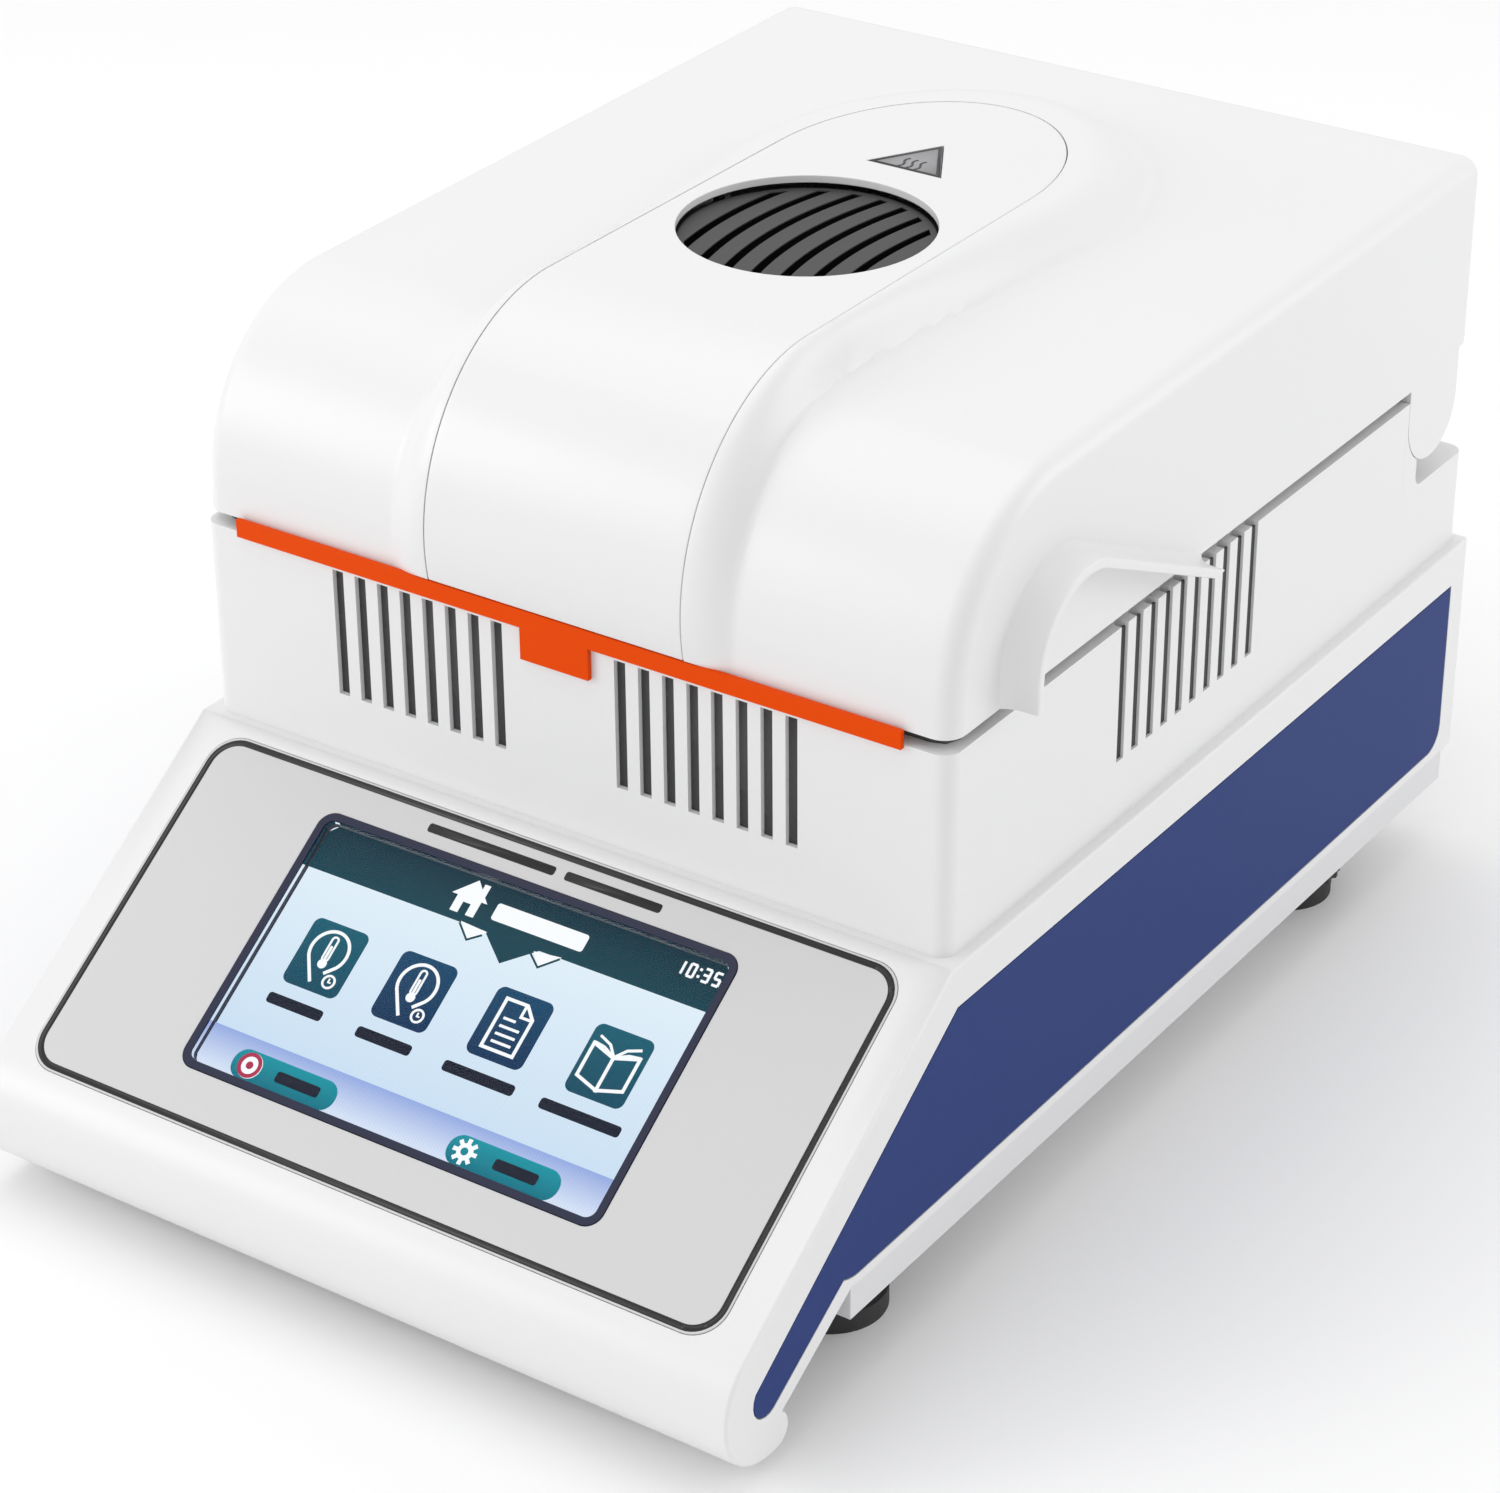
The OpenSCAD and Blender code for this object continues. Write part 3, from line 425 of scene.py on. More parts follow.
# %% The raised middle and its blend
HUMP_TOP = 195.5
HUMP_Y, HUMP_Z, HUMP_RADIUS = -30.75, 147.5, 48
HUMP_START, HUMP_TURN = 191, 101
OVAL_CENTRE, OVAL_SQUEEZE = 60.25, 0.72
PANEL_HOLE = 34.1

def hump_point(s):
    """The raised middle's (y, z) beside the lid's point at s."""
    if s <= FRONT_LENGTH:
        angle = math.radians(HUMP_START - HUMP_TURN * s / FRONT_LENGTH)
        return HUMP_Y + HUMP_RADIUS * math.cos(angle), HUMP_Z + HUMP_RADIUS * math.sin(angle)
    y = at_station(station_y, s)
    return y + (HUMP_Y - FRONT_Y) * max(0.0, 1 - (y - FRONT_Y) / 50), HUMP_TOP

def from_middle(x, y):
    """How far a point is from the raised middle's centre line, as an oval at its rear end."""
    return math.hypot(x, OVAL_SQUEEZE * max(0.0, y - OVAL_CENTRE))

WAIST = [(-80, 46.5), (-60, 43.7), (-21, 40.0), (5, 42.2),
         (32, 46.2), (60, 50.6), (80, 52.0), (170, 52.0)]
SLOPE_WIDTH = 13.5

def between(table, value):
    """Straight-line reading of a table of (at, value) pairs."""
    for (x0, v0), (x1, v1) in zip(table, table[1:]):
        if value <= x1:
            return v0 + (v1 - v0) * (max(value, x0) - x0) / (x1 - x0)
    return table[-1][1]

CREASE = 0.14

def blend_weight(x, y):
    """1 in the raised middle, 0 outside it, with a crease at the foot of the slope."""
    outside = between(WAIST, y)
    inside = max(PANEL_HOLE + 0.6, outside - SLOPE_WIDTH)
    share = min(max((outside - from_middle(x, y)) / (outside - inside), 0.0), 1.0)
    share = (math.hypot(share, CREASE) - CREASE) / (math.hypot(1, CREASE) - CREASE)
    return 1 - (1 - share) ** 2

def lid_point(q, s):
    """A point of the lid's skin: q is the distance across, s the distance along."""
    turn = max(0.0, abs(q) - FLAT_HALF) / EDGE_ROUND
    inset = EDGE_ROUND * (1 - math.cos(turn))
    x = math.copysign(min(abs(q), FLAT_HALF) + EDGE_ROUND * math.sin(turn), q)
    y = at_station(station_y, s) - inset * at_station(station_ny, s)
    z = at_station(station_z, s) - inset * at_station(station_nz, s)
    weight = blend_weight(q, at_station(station_y, s))
    if weight > 0:
        hump_y, hump_z = hump_point(s)
        y, z = y + (hump_y - y) * weight, z + (hump_z - z) * weight
    return x, y, z

print("rise of the middle over the lid:", round(HUMP_TOP - at_station(station_z, 150), 1), "mm")

# %% The lid's skin
def along_at(y):
    """The distance along the skin of a point of the top at y."""
    return FRONT_LENGTH + (y - FRONT_Y) * math.hypot(1, TOP_RISE / TOP_RUN)

def u_loop(half):
    """The outline of the middle panel in (across, along): straight sides and an oval end."""
    side = steps(0.0, along_at(OVAL_CENTRE), 2.2)
    oval = [(half * math.cos(a), along_at(OVAL_CENTRE + half / OVAL_SQUEEZE * math.sin(a)))
            for a in (math.pi * i / 48 for i in range(49))]
    return [(half, s) for s in side[:-1]] + oval + [(-half, s) for s in reversed(side[:-1])]

SLOPE_END = 53
across = steps(PANEL_HOLE + 0.8, SLOPE_END, 1.1) + steps(SLOPE_END, FLAT_HALF, 4)[1:]
across += steps(FLAT_HALF, SIDE_REACH, 0.99)[1:]
inner = steps(-PANEL_HOLE, PANEL_HOLE, 2.4)
columns = sorted([-q for q in across] + inner + across)
rows = sorted(set(along))
grid = [(q, s) for q in columns for s in rows
        if abs(q) > PANEL_HOLE + 0.1 or from_middle(q, at_station(station_y, s)) > PANEL_HOLE + 0.6]
skin_flat, skin_faces = patch(
    grid, [(u_loop(PANEL_HOLE), False)],
    lambda q, s: from_middle(q, at_station(station_y, s)) > PANEL_HOLE - 0.01)
skin = [lid_point(q, s) for q, s in skin_flat]
print("skin points:", len(skin), "triangles:", len(skin_faces))

# %% Side walls, with the hinge ears hanging below the rear
PIVOT = (142.75, 128.5)
EAR_RADIUS = 12.6

def side_wall(sign):
    """The lid's side as one flat face that shares the skin's edge points."""
    rim = sorted((s, i) for i, (q, s) in enumerate(skin_flat) if q * sign > SIDE_REACH - 0.01)
    edge = [i for _, i in rim]
    ear = [(PIVOT[0] + EAR_RADIUS * math.cos(a), PIVOT[1] - EAR_RADIUS * math.sin(a))
           for a in (math.pi * i / 16 for i in range(17))]
    below = [(ear[0][0], 140)] + ear + [(ear[-1][0], 137.5)]
    first = len(skin)
    skin.extend((sign * LID_HALF, y, z) for y, z in below)
    face = edge + list(range(first, first + len(below)))
    skin_faces.append(tuple(face if sign < 0 else reversed(face)))

for sign in (-1, 1):
    side_wall(sign)
lid = piece_from("lid_moulding", skin, skin_faces, "body_white", "lid", ["lid_shell"])
thicken(lid, 2.5)
soften(lid, 0.35, MOULDED_ANGLE)
print("lid faces:", len(lid.data.polygons))

# %% [markdown]
# ## The middle panel of the lid
# A separate panel lies in the raised middle, with a hairline gap all round. It has a round opening
# for the grille and a triangular seat for the heat mark. It is made like the lid: flat outline
# first, then bent over the raised middle's own profile.

# %% Middle panel
PANEL_HALF, PANEL_OVAL = 33.85, 47.05
GRILLE_AT = 20.25
MARK_AT = 66.25
GRILLE_HOLE, MARK_SEAT = 29.6, 11.9
ARC_LENGTH = HUMP_RADIUS * math.radians(HUMP_TURN)

def panel_point(x, t):
    """The raised middle's skin, where t is the distance from its front edge."""
    if t < ARC_LENGTH:
        angle = math.radians(HUMP_START) - t / HUMP_RADIUS
        return x, HUMP_Y + HUMP_RADIUS * math.cos(angle), HUMP_Z + HUMP_RADIUS * math.sin(angle)
    return x, HUMP_Y + t - ARC_LENGTH, HUMP_TOP

def panel_along(y):
    return ARC_LENGTH + y - HUMP_Y

def circle(cx, cy, radius, count=72, turn=0.0):
    return [(cx + radius * math.cos(turn + 2 * math.pi * i / count),
             cy + radius * math.sin(turn + 2 * math.pi * i / count)) for i in range(count)]

panel_sides = steps(0, panel_along(OVAL_CENTRE), 2.2)
panel_end = [(PANEL_HALF * math.cos(a), panel_along(OVAL_CENTRE + PANEL_OVAL * math.sin(a)))
             for a in (math.pi * i / 48 for i in range(49))]
panel_edge = ([(PANEL_HALF, t) for t in panel_sides[:-1]] + panel_end
              + [(-PANEL_HALF, t) for t in reversed(panel_sides[:-1])])
grille_hole = circle(0, panel_along(GRILLE_AT), GRILLE_HOLE)
mark_hole = circle(0, panel_along(MARK_AT), MARK_SEAT, 3, math.pi / 2)

def in_mark(x, t, radius):
    """Whether a point is inside a triangle of this outer radius, as seen from above."""
    y = t - panel_along(MARK_AT)
    return all(x * math.cos(a) + y * math.sin(a) < radius / 2
               for a in (math.radians(d) for d in (-90, 30, 150)))

def on_panel(x, t, slack=0.0):
    """Whether a point belongs to the panel; slack keeps grid points off its edges."""
    y = t - ARC_LENGTH + HUMP_Y
    oval = math.hypot(x / PANEL_HALF, max(0.0, y - OVAL_CENTRE) / PANEL_OVAL)
    clear_of_grille = math.hypot(x, y - GRILLE_AT) > GRILLE_HOLE + slack
    return oval < 1 - slack / 40 and clear_of_grille and not in_mark(x, t, MARK_SEAT + 2 * slack)

panel_grid = [(x, t) for x in steps(-PANEL_HALF, PANEL_HALF, 2.4)
              for t in steps(0, panel_along(108), 2.2) if on_panel(x, t, 0.6)]
panel_loops = [(panel_edge, True), (grille_hole, True), (mark_hole, True)]
panel_flat, panel_faces = patch(panel_grid, panel_loops, on_panel)
panel = piece_from("lid_middle_panel", [panel_point(x, t) for x, t in panel_flat], panel_faces,
                   "panel_white", "lid", ["lid_centre_panel"])
thicken(panel, 1.9)
soften(panel, 0.22, MOULDED_ANGLE)
print("panel faces:", len(panel.data.polygons))

# %% [markdown]
# ## Prisms from outlines
# Many small things here are flat shapes with a little thickness: ribs, films, printed marks and
# the shapes on the display. One helper turns outlines in a plane into prisms, and a second one
# turns a line into a row of four-cornered outlines, as a pen of a given width would draw it.

# %% Prisms and pen lines
SLOPE_ANGLE = math.radians(34.2)
SLOPE_Y, SLOPE_Z = -118.6, 58.9

def on_slope(x, y, z):
    """From the sloping front's own axes (across, up the slope, outwards) to the whole object's."""
    return (x, SLOPE_Y + y * math.cos(SLOPE_ANGLE) - z * math.sin(SLOPE_ANGLE),
            SLOPE_Z + y * math.sin(SLOPE_ANGLE) + z * math.cos(SLOPE_ANGLE))

def sideways(y, z, x):
    """From an outline in the side view, carried along x."""
    return x, y, z

def level(x, y, z):
    return x, y, z

def prisms(outlines, low, high, place):
    """Closed prisms over outlines, from low to high, put in place by a function."""
    points, faces = [], []
    for outline in outlines:
        first, count = len(points), len(outline)
        points += [place(a, b, low) for a, b in outline] + [place(a, b, high) for a, b in outline]
        bottom = list(range(first, first + count))
        top = [i + count for i in bottom]
        faces += [tuple(reversed(bottom)), tuple(top)]
        faces += [(bottom[i], bottom[(i + 1) % count], top[(i + 1) % count], top[i])
                  for i in range(count)]
    return points, faces

def pen_line(points, width, closed=False):
    """Outlines that follow a line with mitred corners."""
    count = len(points)
    left, right = [], []
    for i, (x, y) in enumerate(points):
        before = points[i - 1] if closed or i > 0 else (2 * x - points[1][0], 2 * y - points[1][1])
        after = points[(i + 1) % count] if closed or i < count - 1 else \
            (2 * x - points[-2][0], 2 * y - points[-2][1])
        into = Vector((x - before[0], y - before[1])).normalized()
        out = Vector((after[0] - x, after[1] - y)).normalized()
        normal = Vector((-into.y - out.y, into.x + out.x))
        normal = normal.normalized() if normal.length > 1e-6 else Vector((-into.y, into.x))
        reach = width / 2 / max(0.35, normal.dot(Vector((-into.y, into.x))))
        left.append((x + normal.x * reach, y + normal.y * reach))
        right.append((x - normal.x * reach, y - normal.y * reach))
    last = count if closed else count - 1
    return [(right[i], right[(i + 1) % count], left[(i + 1) % count], left[i])
            for i in range(last)]

def rounded(x0, y0, x1, y1, radius, count=6):
    """A rectangle with round corners, anticlockwise."""
    out = []
    for cx, cy, start in ((x1 - radius, y0 + radius, -90), (x1 - radius, y1 - radius, 0),
                          (x0 + radius, y1 - radius, 90), (x0 + radius, y0 + radius, 180)):
        out += [(cx + radius * math.cos(math.radians(start + 90 * i / count)),
                 cy + radius * math.sin(math.radians(start + 90 * i / count)))
                for i in range(count + 1)]
    return out

print("corners of a rounded plate:", len(rounded(0, 0, 10, 5, 1)))

# %% [markdown]
# ## Finger grips
# The lid is lifted by two arched ribs, one on each side. On the real moulding each rib grows out
# of the side in a hollow curve, so it is built in slices: the arch is widest where it meets the
# lid and settles to its own thickness a few millimetres out.

# %% Finger grips
GRIP_CENTRE = (-36.25, 144.0)
GRIP_RADIUS, GRIP_WALL, GRIP_RUN = 20.0, 2.3, 25.5
LID_EDGE = 137.5
GRIP_SLICES = [(98.6, 2.4), (99.5, 1.7), (100.2, 1.15), (101.2, 0.6), (102.4, 0.22), (103.8, 0.05),
               (105.0, 0.0), (107.2, 0.0), (107.65, -0.12), (107.9, -0.5)]

def grip_outline(flare):
    """The arch in the side view. flare makes it wider, as it is where it meets the lid."""
    outer = GRIP_RADIUS + flare
    inner = GRIP_RADIUS - GRIP_WALL - max(-0.5, min(flare, 0.9)) * 0.6
    angles = [math.radians(90 - GRIP_RUN + (90 + GRIP_RUN) * i / 20) for i in range(21)]
    cy, cz = GRIP_CENTRE
    run = math.radians(GRIP_RUN)

    def arch(r):
        tip = cy + r * math.sin(run) + (cz + r * math.cos(run) - LID_EDGE) / math.tan(run)
        curve = [(cy + r * math.cos(a), cz + r * math.sin(a)) for a in angles]
        return [(tip, LID_EDGE)] + curve + [(cy - r, LID_EDGE)]

    return arch(outer), arch(inner)

def make_grip(name, sign):
    points, faces = [], []
    for x, flare in GRIP_SLICES:
        outside, inside = grip_outline(flare)
        points += [(sign * x, y, z) for y, z in outside + list(reversed(inside))]
    ring = len(outside) * 2
    for layer in range(len(GRIP_SLICES) - 1):
        for i in range(ring):
            a, b = layer * ring + i, layer * ring + (i + 1) % ring
            faces.append((a, b, b + ring, a + ring))
    half = ring // 2
    last = (len(GRIP_SLICES) - 1) * ring
    for base in (0, last):
        faces += [(base + i, base + i + 1, base + ring - 2 - i, base + ring - 1 - i)
                  for i in range(half - 1)]
    grip = piece_from(name, points, faces, "body_white", "lid")
    fix = bmesh.new()
    fix.from_mesh(grip.data)
    bmesh.ops.recalc_face_normals(fix, faces=fix.faces)
    fix.to_mesh(grip.data)
    fix.free()
    return soften(grip, 0.35, MOULDED_ANGLE)

grips = [make_grip("lid_grip_right", 1), make_grip("lid_grip_left", -1)]
print("grip faces:", [len(grip.data.polygons) for grip in grips])

# %% [markdown]
# ## The base case
# The base is a bent sheet of thick plastic closed by two flat sides. The edges where the sides
# meet the bend are rounder than the rest, so they are bevelled in the mesh, wider than the
# modifier's fine rounding can be. The mesh starts as a copy of the frame's solid.

# %% Base case with round side edges
BASE_HALF, SIDE_ROUND = 102.5, 2.0

def is_side_edge(edge):
    """Whether an edge runs along the outline of one side, and not around the inlay's seat."""
    if not all(abs(abs(corner.co.x) / MM - BASE_HALF) < 0.02 for corner in edge.verts):
        return False
    if all(corner.co.z / MM < 29 and corner.co.y / MM > -117 for corner in edge.verts):
        return False
    spans = [max(c.co.x for c in face.verts) - min(c.co.x for c in face.verts)
             for face in edge.link_faces]
    return len(spans) == 2 and min(spans) < 0.001 and max(spans) > 0.1

case_mesh = frame["nodes"]["base_shell"].data.copy()
case_mesh.name = "base_case"
work = bmesh.new()
work.from_mesh(case_mesh)
bmesh.ops.remove_doubles(work, verts=work.verts, dist=1e-6)
bmesh.ops.dissolve_limit(work, angle_limit=math.radians(0.6), verts=work.verts, edges=work.edges)
side_edges = [edge for edge in work.edges if is_side_edge(edge)]
bmesh.ops.bevel(work, geom=side_edges, offset=SIDE_ROUND * MM, segments=5, profile=0.5,
                affect="EDGES", clamp_overlap=True)
work.to_mesh(case_mesh)
work.free()
case = bpy.data.objects.new("base_case", case_mesh)
bpy.context.scene.collection.objects.link(case)
case_mesh.materials.clear()
case_mesh.materials.append(FINISH["body_white"])
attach(case, "base")
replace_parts(case, "base_shell")
soften(case, 0.35, 40)
print("side edges rounded:", len(side_edges))

# %% [markdown]
# ## Painted shade behind the openings
# The shade inside the tower's slots and between the grille's ribs is painted: a dark plate like a
# fine gauze closes each opening from inside. Each plate is thin and lies just behind the opening,
# with a woven look from two crossed sets of fine bands. The grille's is a thicker near-black pad
# that runs through the ribs and fills the gaps between them almost to the top, as painted shade.

# %% Finish of the painted shade plates
weave, weave_in, weave_out = new_group(
    "fine_weave",
    [("Threads", FLOAT, 700.0), ("Color", COLOR, (0.05, 0.05, 0.05, 1)), ("Depth", FLOAT, 0.5)],
    [("Height", FLOAT), ("Color", COLOR)])
bands = []
for direction in ("X", "Z", "Y"):
    band = placed(weave, "ShaderNodeTexWave")
    band.bands_direction = direction
    weave.links.new(weave_in.outputs["Threads"], band.inputs["Scale"])
    bands.append(band.outputs["Fac"])
crossed = math_node(weave, "MULTIPLY", math_node(weave, "MULTIPLY", bands[0], bands[1]), bands[2])
threads = math_node(weave, "MULTIPLY", crossed, weave_in.outputs["Depth"])
light = math_node(weave, "ADD", threads, 0.7)
weave.links.new(crossed, weave_out.inputs["Height"])
weave.links.new(shaded(weave, weave_in.outputs["Color"], light), weave_out.inputs["Color"])

def woven(name, color):
    """A thin dark sheet with a woven look, used as painted shade inside openings."""
    material, tree, shader, effect = with_effect(name, weave, {"Color": (*color, 1)})
    emboss(tree, shader, effect, 0.5, 0.05)
    shader.inputs["Roughness"].default_value = 0.7
    tree.links.new(effect.outputs["Color"], shader.inputs["Base Color"])
    return material

# painted shade: a dark grey woven sheet stands for the shade inside the tower's slots
SLOT_SHADE_GAUZE = woven("slot_shade_gauze", (0.085, 0.085, 0.087))
# painted shade: a near-black sheet without specular stands for the black shade between the grille's
# ribs
GAP_SHADE_GAUZE = woven("gap_shade_gauze", (0.003, 0.003, 0.003))
shader_of(GAP_SHADE_GAUZE).inputs["Specular IOR Level"].default_value = 0.0
print("gauze finishes:", SLOT_SHADE_GAUZE.name, GAP_SHADE_GAUZE.name)

# %% Painted shade plates
def flat_piece(name, outlines, low, high, place, slot, body, finish=None):
    """Prisms as one piece."""
    points, faces = prisms(outlines, low, high, place)
    return piece_from(name, points, faces, slot, body, finish=finish)

def facing_front(x, z, y):
    return x, y, z

SLOTS_LOW, SLOTS_HIGH = 99.5, 133.4
front_spans = [rounded(x0, SLOTS_LOW, x1, SLOTS_HIGH, 1)
               for x0, x1 in ((-63.5, -13.5), (13.5, 63.5))]
# painted shade: a dark plate just behind the front slots darkens them as shade would
front_slot_shade = flat_piece("front_slot_shade", front_spans, -75.5, -75.0, facing_front,
                         "black_plastic", "base", SLOT_SHADE_GAUZE)
# painted shade: dark plates just behind the side slots darken them as shade would
for sign, side in ((1, "right"), (-1, "left")):
    low, high = sorted((sign * 98.3, sign * 98.8))
    flat_piece(f"side_slot_shade_{side}", [rounded(-9.0, SLOTS_LOW, 56.5, SLOTS_HIGH, 1)], low, high,
               sideways, "black_plastic", "base", SLOT_SHADE_GAUZE)
# painted shade: the grille pad rises into the gaps between the ribs so that they read black
flat_piece("grille_gap_shade", [circle(0, GRILLE_AT, 28.4)], 188.2, 192.2, level,
           "black_plastic", "lid", GAP_SHADE_GAUZE)
print("gauze behind the front slots:", len(front_slot_shade.data.polygons), "faces")

# %% [markdown]
# ## The printed film around the display
# The grey film carries a black line all round, just inside its edge. A title would stand above the
# display; two plain bars take its place here. Printed ink is a layer a few hundredths of a
# millimetre thick, so each mark is a very thin prism.

# %% Ink on the film
FILM_TOP = 0.08
INK = plastic("printed_ink", (0.016, 0.016, 0.017), 0.4, 0.15)
border_line = pen_line(rounded(-92.5, -43.4, 92.5, 43.4, 6.9, 10), 1.5, closed=True)
flat_piece("film_border", border_line, FILM_TOP, 0.16, on_slope, "black_plastic", "base", INK)
title_bars = [rounded(-30.4, 38.2, 4.6, 40.4, 0.7), rounded(7.4, 38.2, 33.1, 40.4, 0.7)]
flat_piece("film_title_bars", title_bars, FILM_TOP, 0.15, on_slope, "black_plastic", "base", INK)
print("border pieces:", len(border_line))

# %% [markdown]
# ## Painted shade in the seam, and the cheeks below the hinge ears
# A thin dark grey strip stands in the groove between the lid and the tower as painted shade, so the
# seam reads as a dark line.
# At the rear the tower's sides curve up around the ears that carry the lid, with a hair of
# clearance to the ears all the way round.

# %% Seam shade strip and cheeks
def side_blocks(name, outline, inner, outer, body, width_mm):
    """The same white block on the right and on the left, with its edges rounded."""
    for sign, side in ((1, "right"), (-1, "left")):
        low, high = sorted((sign * inner, sign * outer))
        block = flat_piece(f"{name}_{side}", [outline], low, high, sideways, "body_white", body)
        soften(block, width_mm, MOULDED_ANGLE)

LIP_X, LIP_FRONT, LIP_REAR = 96.2, -72.45, 129.6
SHADE_STRIP_OUT = 0.25
seam_shade_half = [(LIP_X + SHADE_STRIP_OUT, LIP_REAR), (LIP_X + SHADE_STRIP_OUT, LIP_FRONT + 4),
             (LIP_X - 1, LIP_FRONT + 0.9), (LIP_X - 4, LIP_FRONT - SHADE_STRIP_OUT)]
seam_shade_line = [(-x, y) for x, y in seam_shade_half] + seam_shade_half[::-1]
# painted shade: a dark grey strip in the groove stands for the shade in the seam
flat_piece("seam_shade_strip", pen_line(seam_shade_line, 0.4), 134.52, 137.3, level, "rubber", "base",
           plastic("seam_shade_grey", (0.10, 0.10, 0.10), 0.7, 0.4))

CHEEK_RADIUS = EAR_RADIUS + 0.3
LEDGE = 110.0
cheek = [(129.2, LEDGE - 1.0), (139.6, LEDGE - 1.0), (139.0, LEDGE + 0.02)]
cheek += [(139.0 - 3 * math.sin(a), LEDGE + 3 - 3 * math.cos(a))
          for a in (math.radians(15 * i) for i in range(1, 7))]
lowest = math.asin((PIVOT[0] - 136.0) / CHEEK_RADIUS)
cheek += [(PIVOT[0] - CHEEK_RADIUS * math.sin(a), PIVOT[1] - CHEEK_RADIUS * math.cos(a))
          for a in (lowest + (math.radians(81) - lowest) * i / 12 for i in range(13))]
cheek.append((129.2, cheek[-1][1]))
side_blocks("tower_cheek", cheek, 96.5, LID_HALF + 0.03, "base", 0.05)
print("cheek corners:", len(cheek))

# %% Ear blocks around the hinge bushes
BLOCK_RADIUS = 12.0
ear_block = [(PIVOT[0] + BLOCK_RADIUS, 152.0), (PIVOT[0] - BLOCK_RADIUS, 152.0)]
ear_block += [(PIVOT[0] - BLOCK_RADIUS * math.cos(a), PIVOT[1] - BLOCK_RADIUS * math.sin(a))
              for a in (math.pi * i / 20 for i in range(21))]
side_blocks("hinge_ear", ear_block, 91.7, 97.3, "lid", 0.3)
print("ear corners:", len(ear_block))

# %% [markdown]
# ## The picture on the display
# The display glows behind its glass. Its picture is built from thin coloured shapes that give off
# light: a dark header, four square buttons with line drawings, and a pale band with two pills.
# Plain bars stand where words would be, and only a clock has digits. Faint fine bands over every
# colour stand for the screen's cells.

# %% Display colours
def from_screen(r, g, b):
    """A screen colour from 0 to 255, as the linear light that a shader needs."""
    return tuple((v / 255 / 12.92 if v <= 10 else ((v / 255 + 0.055) / 1.055) ** 2.4)
                 for v in (r, g, b))

cells, cells_in, cells_out = new_group(
    "display_cells", [("Color", COLOR, (1, 1, 1, 1)), ("Lower Color", COLOR, (1, 1, 1, 1)),
                      ("Low", FLOAT, 0.0), ("High", FLOAT, 1.0), ("Contrast", FLOAT, 0.05)],
    [("Color", COLOR)])
split = placed(cells, "ShaderNodeSeparateXYZ")
fade = cells.nodes.new("ShaderNodeMapRange")
blend = cells.nodes.new("ShaderNodeMix")
blend.data_type = "RGBA"
bands = placed(cells, "ShaderNodeTexWave")
bands.inputs["Scale"].default_value = 420
cells.links.new(split.outputs["Z"], fade.inputs["Value"])
cells.links.new(cells_in.outputs["Low"], fade.inputs["From Min"])
cells.links.new(cells_in.outputs["High"], fade.inputs["From Max"])
cells.links.new(fade.outputs["Result"], blend.inputs["Factor"])
cells.links.new(cells_in.outputs["Lower Color"], blend.inputs["A"])
cells.links.new(cells_in.outputs["Color"], blend.inputs["B"])
centred = math_node(cells, "SUBTRACT", bands.outputs["Fac"], 0.5)
ripple = math_node(cells, "MULTIPLY", centred, cells_in.outputs["Contrast"])
light = math_node(cells, "ADD", ripple, 1.0)
cells.links.new(shaded(cells, blend.outputs["Result"], light), cells_out.inputs["Color"])

def glowing(name, color, lower=None, low=0.0, high=1.0, contrast=0.05):
    """A display colour, or a fade between two colours from one height to another."""
    material, tree, shader, effect = with_effect(name, cells, {
        "Color": (*from_screen(*color), 1), "Lower Color": (*from_screen(*(lower or color)), 1),
        "Low": low, "High": high, "Contrast": contrast})
    shader.inputs["Base Color"].default_value = (0.01, 0.01, 0.01, 1)
    shader.inputs["Roughness"].default_value = 0.6
    shader.inputs["Specular IOR Level"].default_value = 0.0
    shader.inputs["Emission Strength"].default_value = 1.0
    tree.links.new(effect.outputs["Color"], shader.inputs["Emission Color"])
    return material

SCREEN_UP = 1.6

def height_of(y):
    """The height of a display point, in metres."""
    return on_slope(0, y + SCREEN_UP, -2)[2] * MM

GLOW = {
    "field": glowing("display_field", (226, 240, 249), (205, 226, 244),
                     height_of(-22), height_of(20)),
    "header": glowing("display_header", (4, 46, 60), (6, 64, 78), height_of(20), height_of(31)),
    "white": glowing("display_white", (252, 254, 255), contrast=0.02),
    "teal": glowing("display_teal", (8, 92, 112), (4, 74, 96), height_of(-7), height_of(10), 0.12),
    "navy": glowing("display_navy", (10, 70, 106), (4, 50, 88), height_of(-7), height_of(10), 0.12),
    "ink": glowing("display_ink", (16, 24, 44), contrast=0.02),
    "footer": glowing("display_footer", (140, 164, 224), (214, 226, 246),
                      height_of(-31), height_of(-21), 0.08),
    "pill": glowing("display_pill", (10, 150, 164), (2, 116, 134),
                    height_of(-31), height_of(-24), 0.15),
    "red": glowing("display_red", (176, 48, 84), contrast=0.02),
}
print("display colours:", len(GLOW))

# %% Display layers
LAYER_START, LAYER_STEP, LAYER_THICK = -2.9, 0.22, 0.16
DISPLAY_X, DISPLAY_Y = 55.0, 31.4
INNER_X, INNER_Y = DISPLAY_X - 2.0, DISPLAY_Y - 2.0

def shown(name, outlines, layer, colour):
    """Shapes of one colour. Each layer lies a little nearer to the glass."""
    low = LAYER_START + LAYER_STEP * layer
    lifted = [[(x, y + SCREEN_UP) for x, y in outline] for outline in outlines]
    flat_piece(f"display_{name}", lifted, low, low + LAYER_THICK, on_slope,
               "screen_module", "base", GLOW[colour])

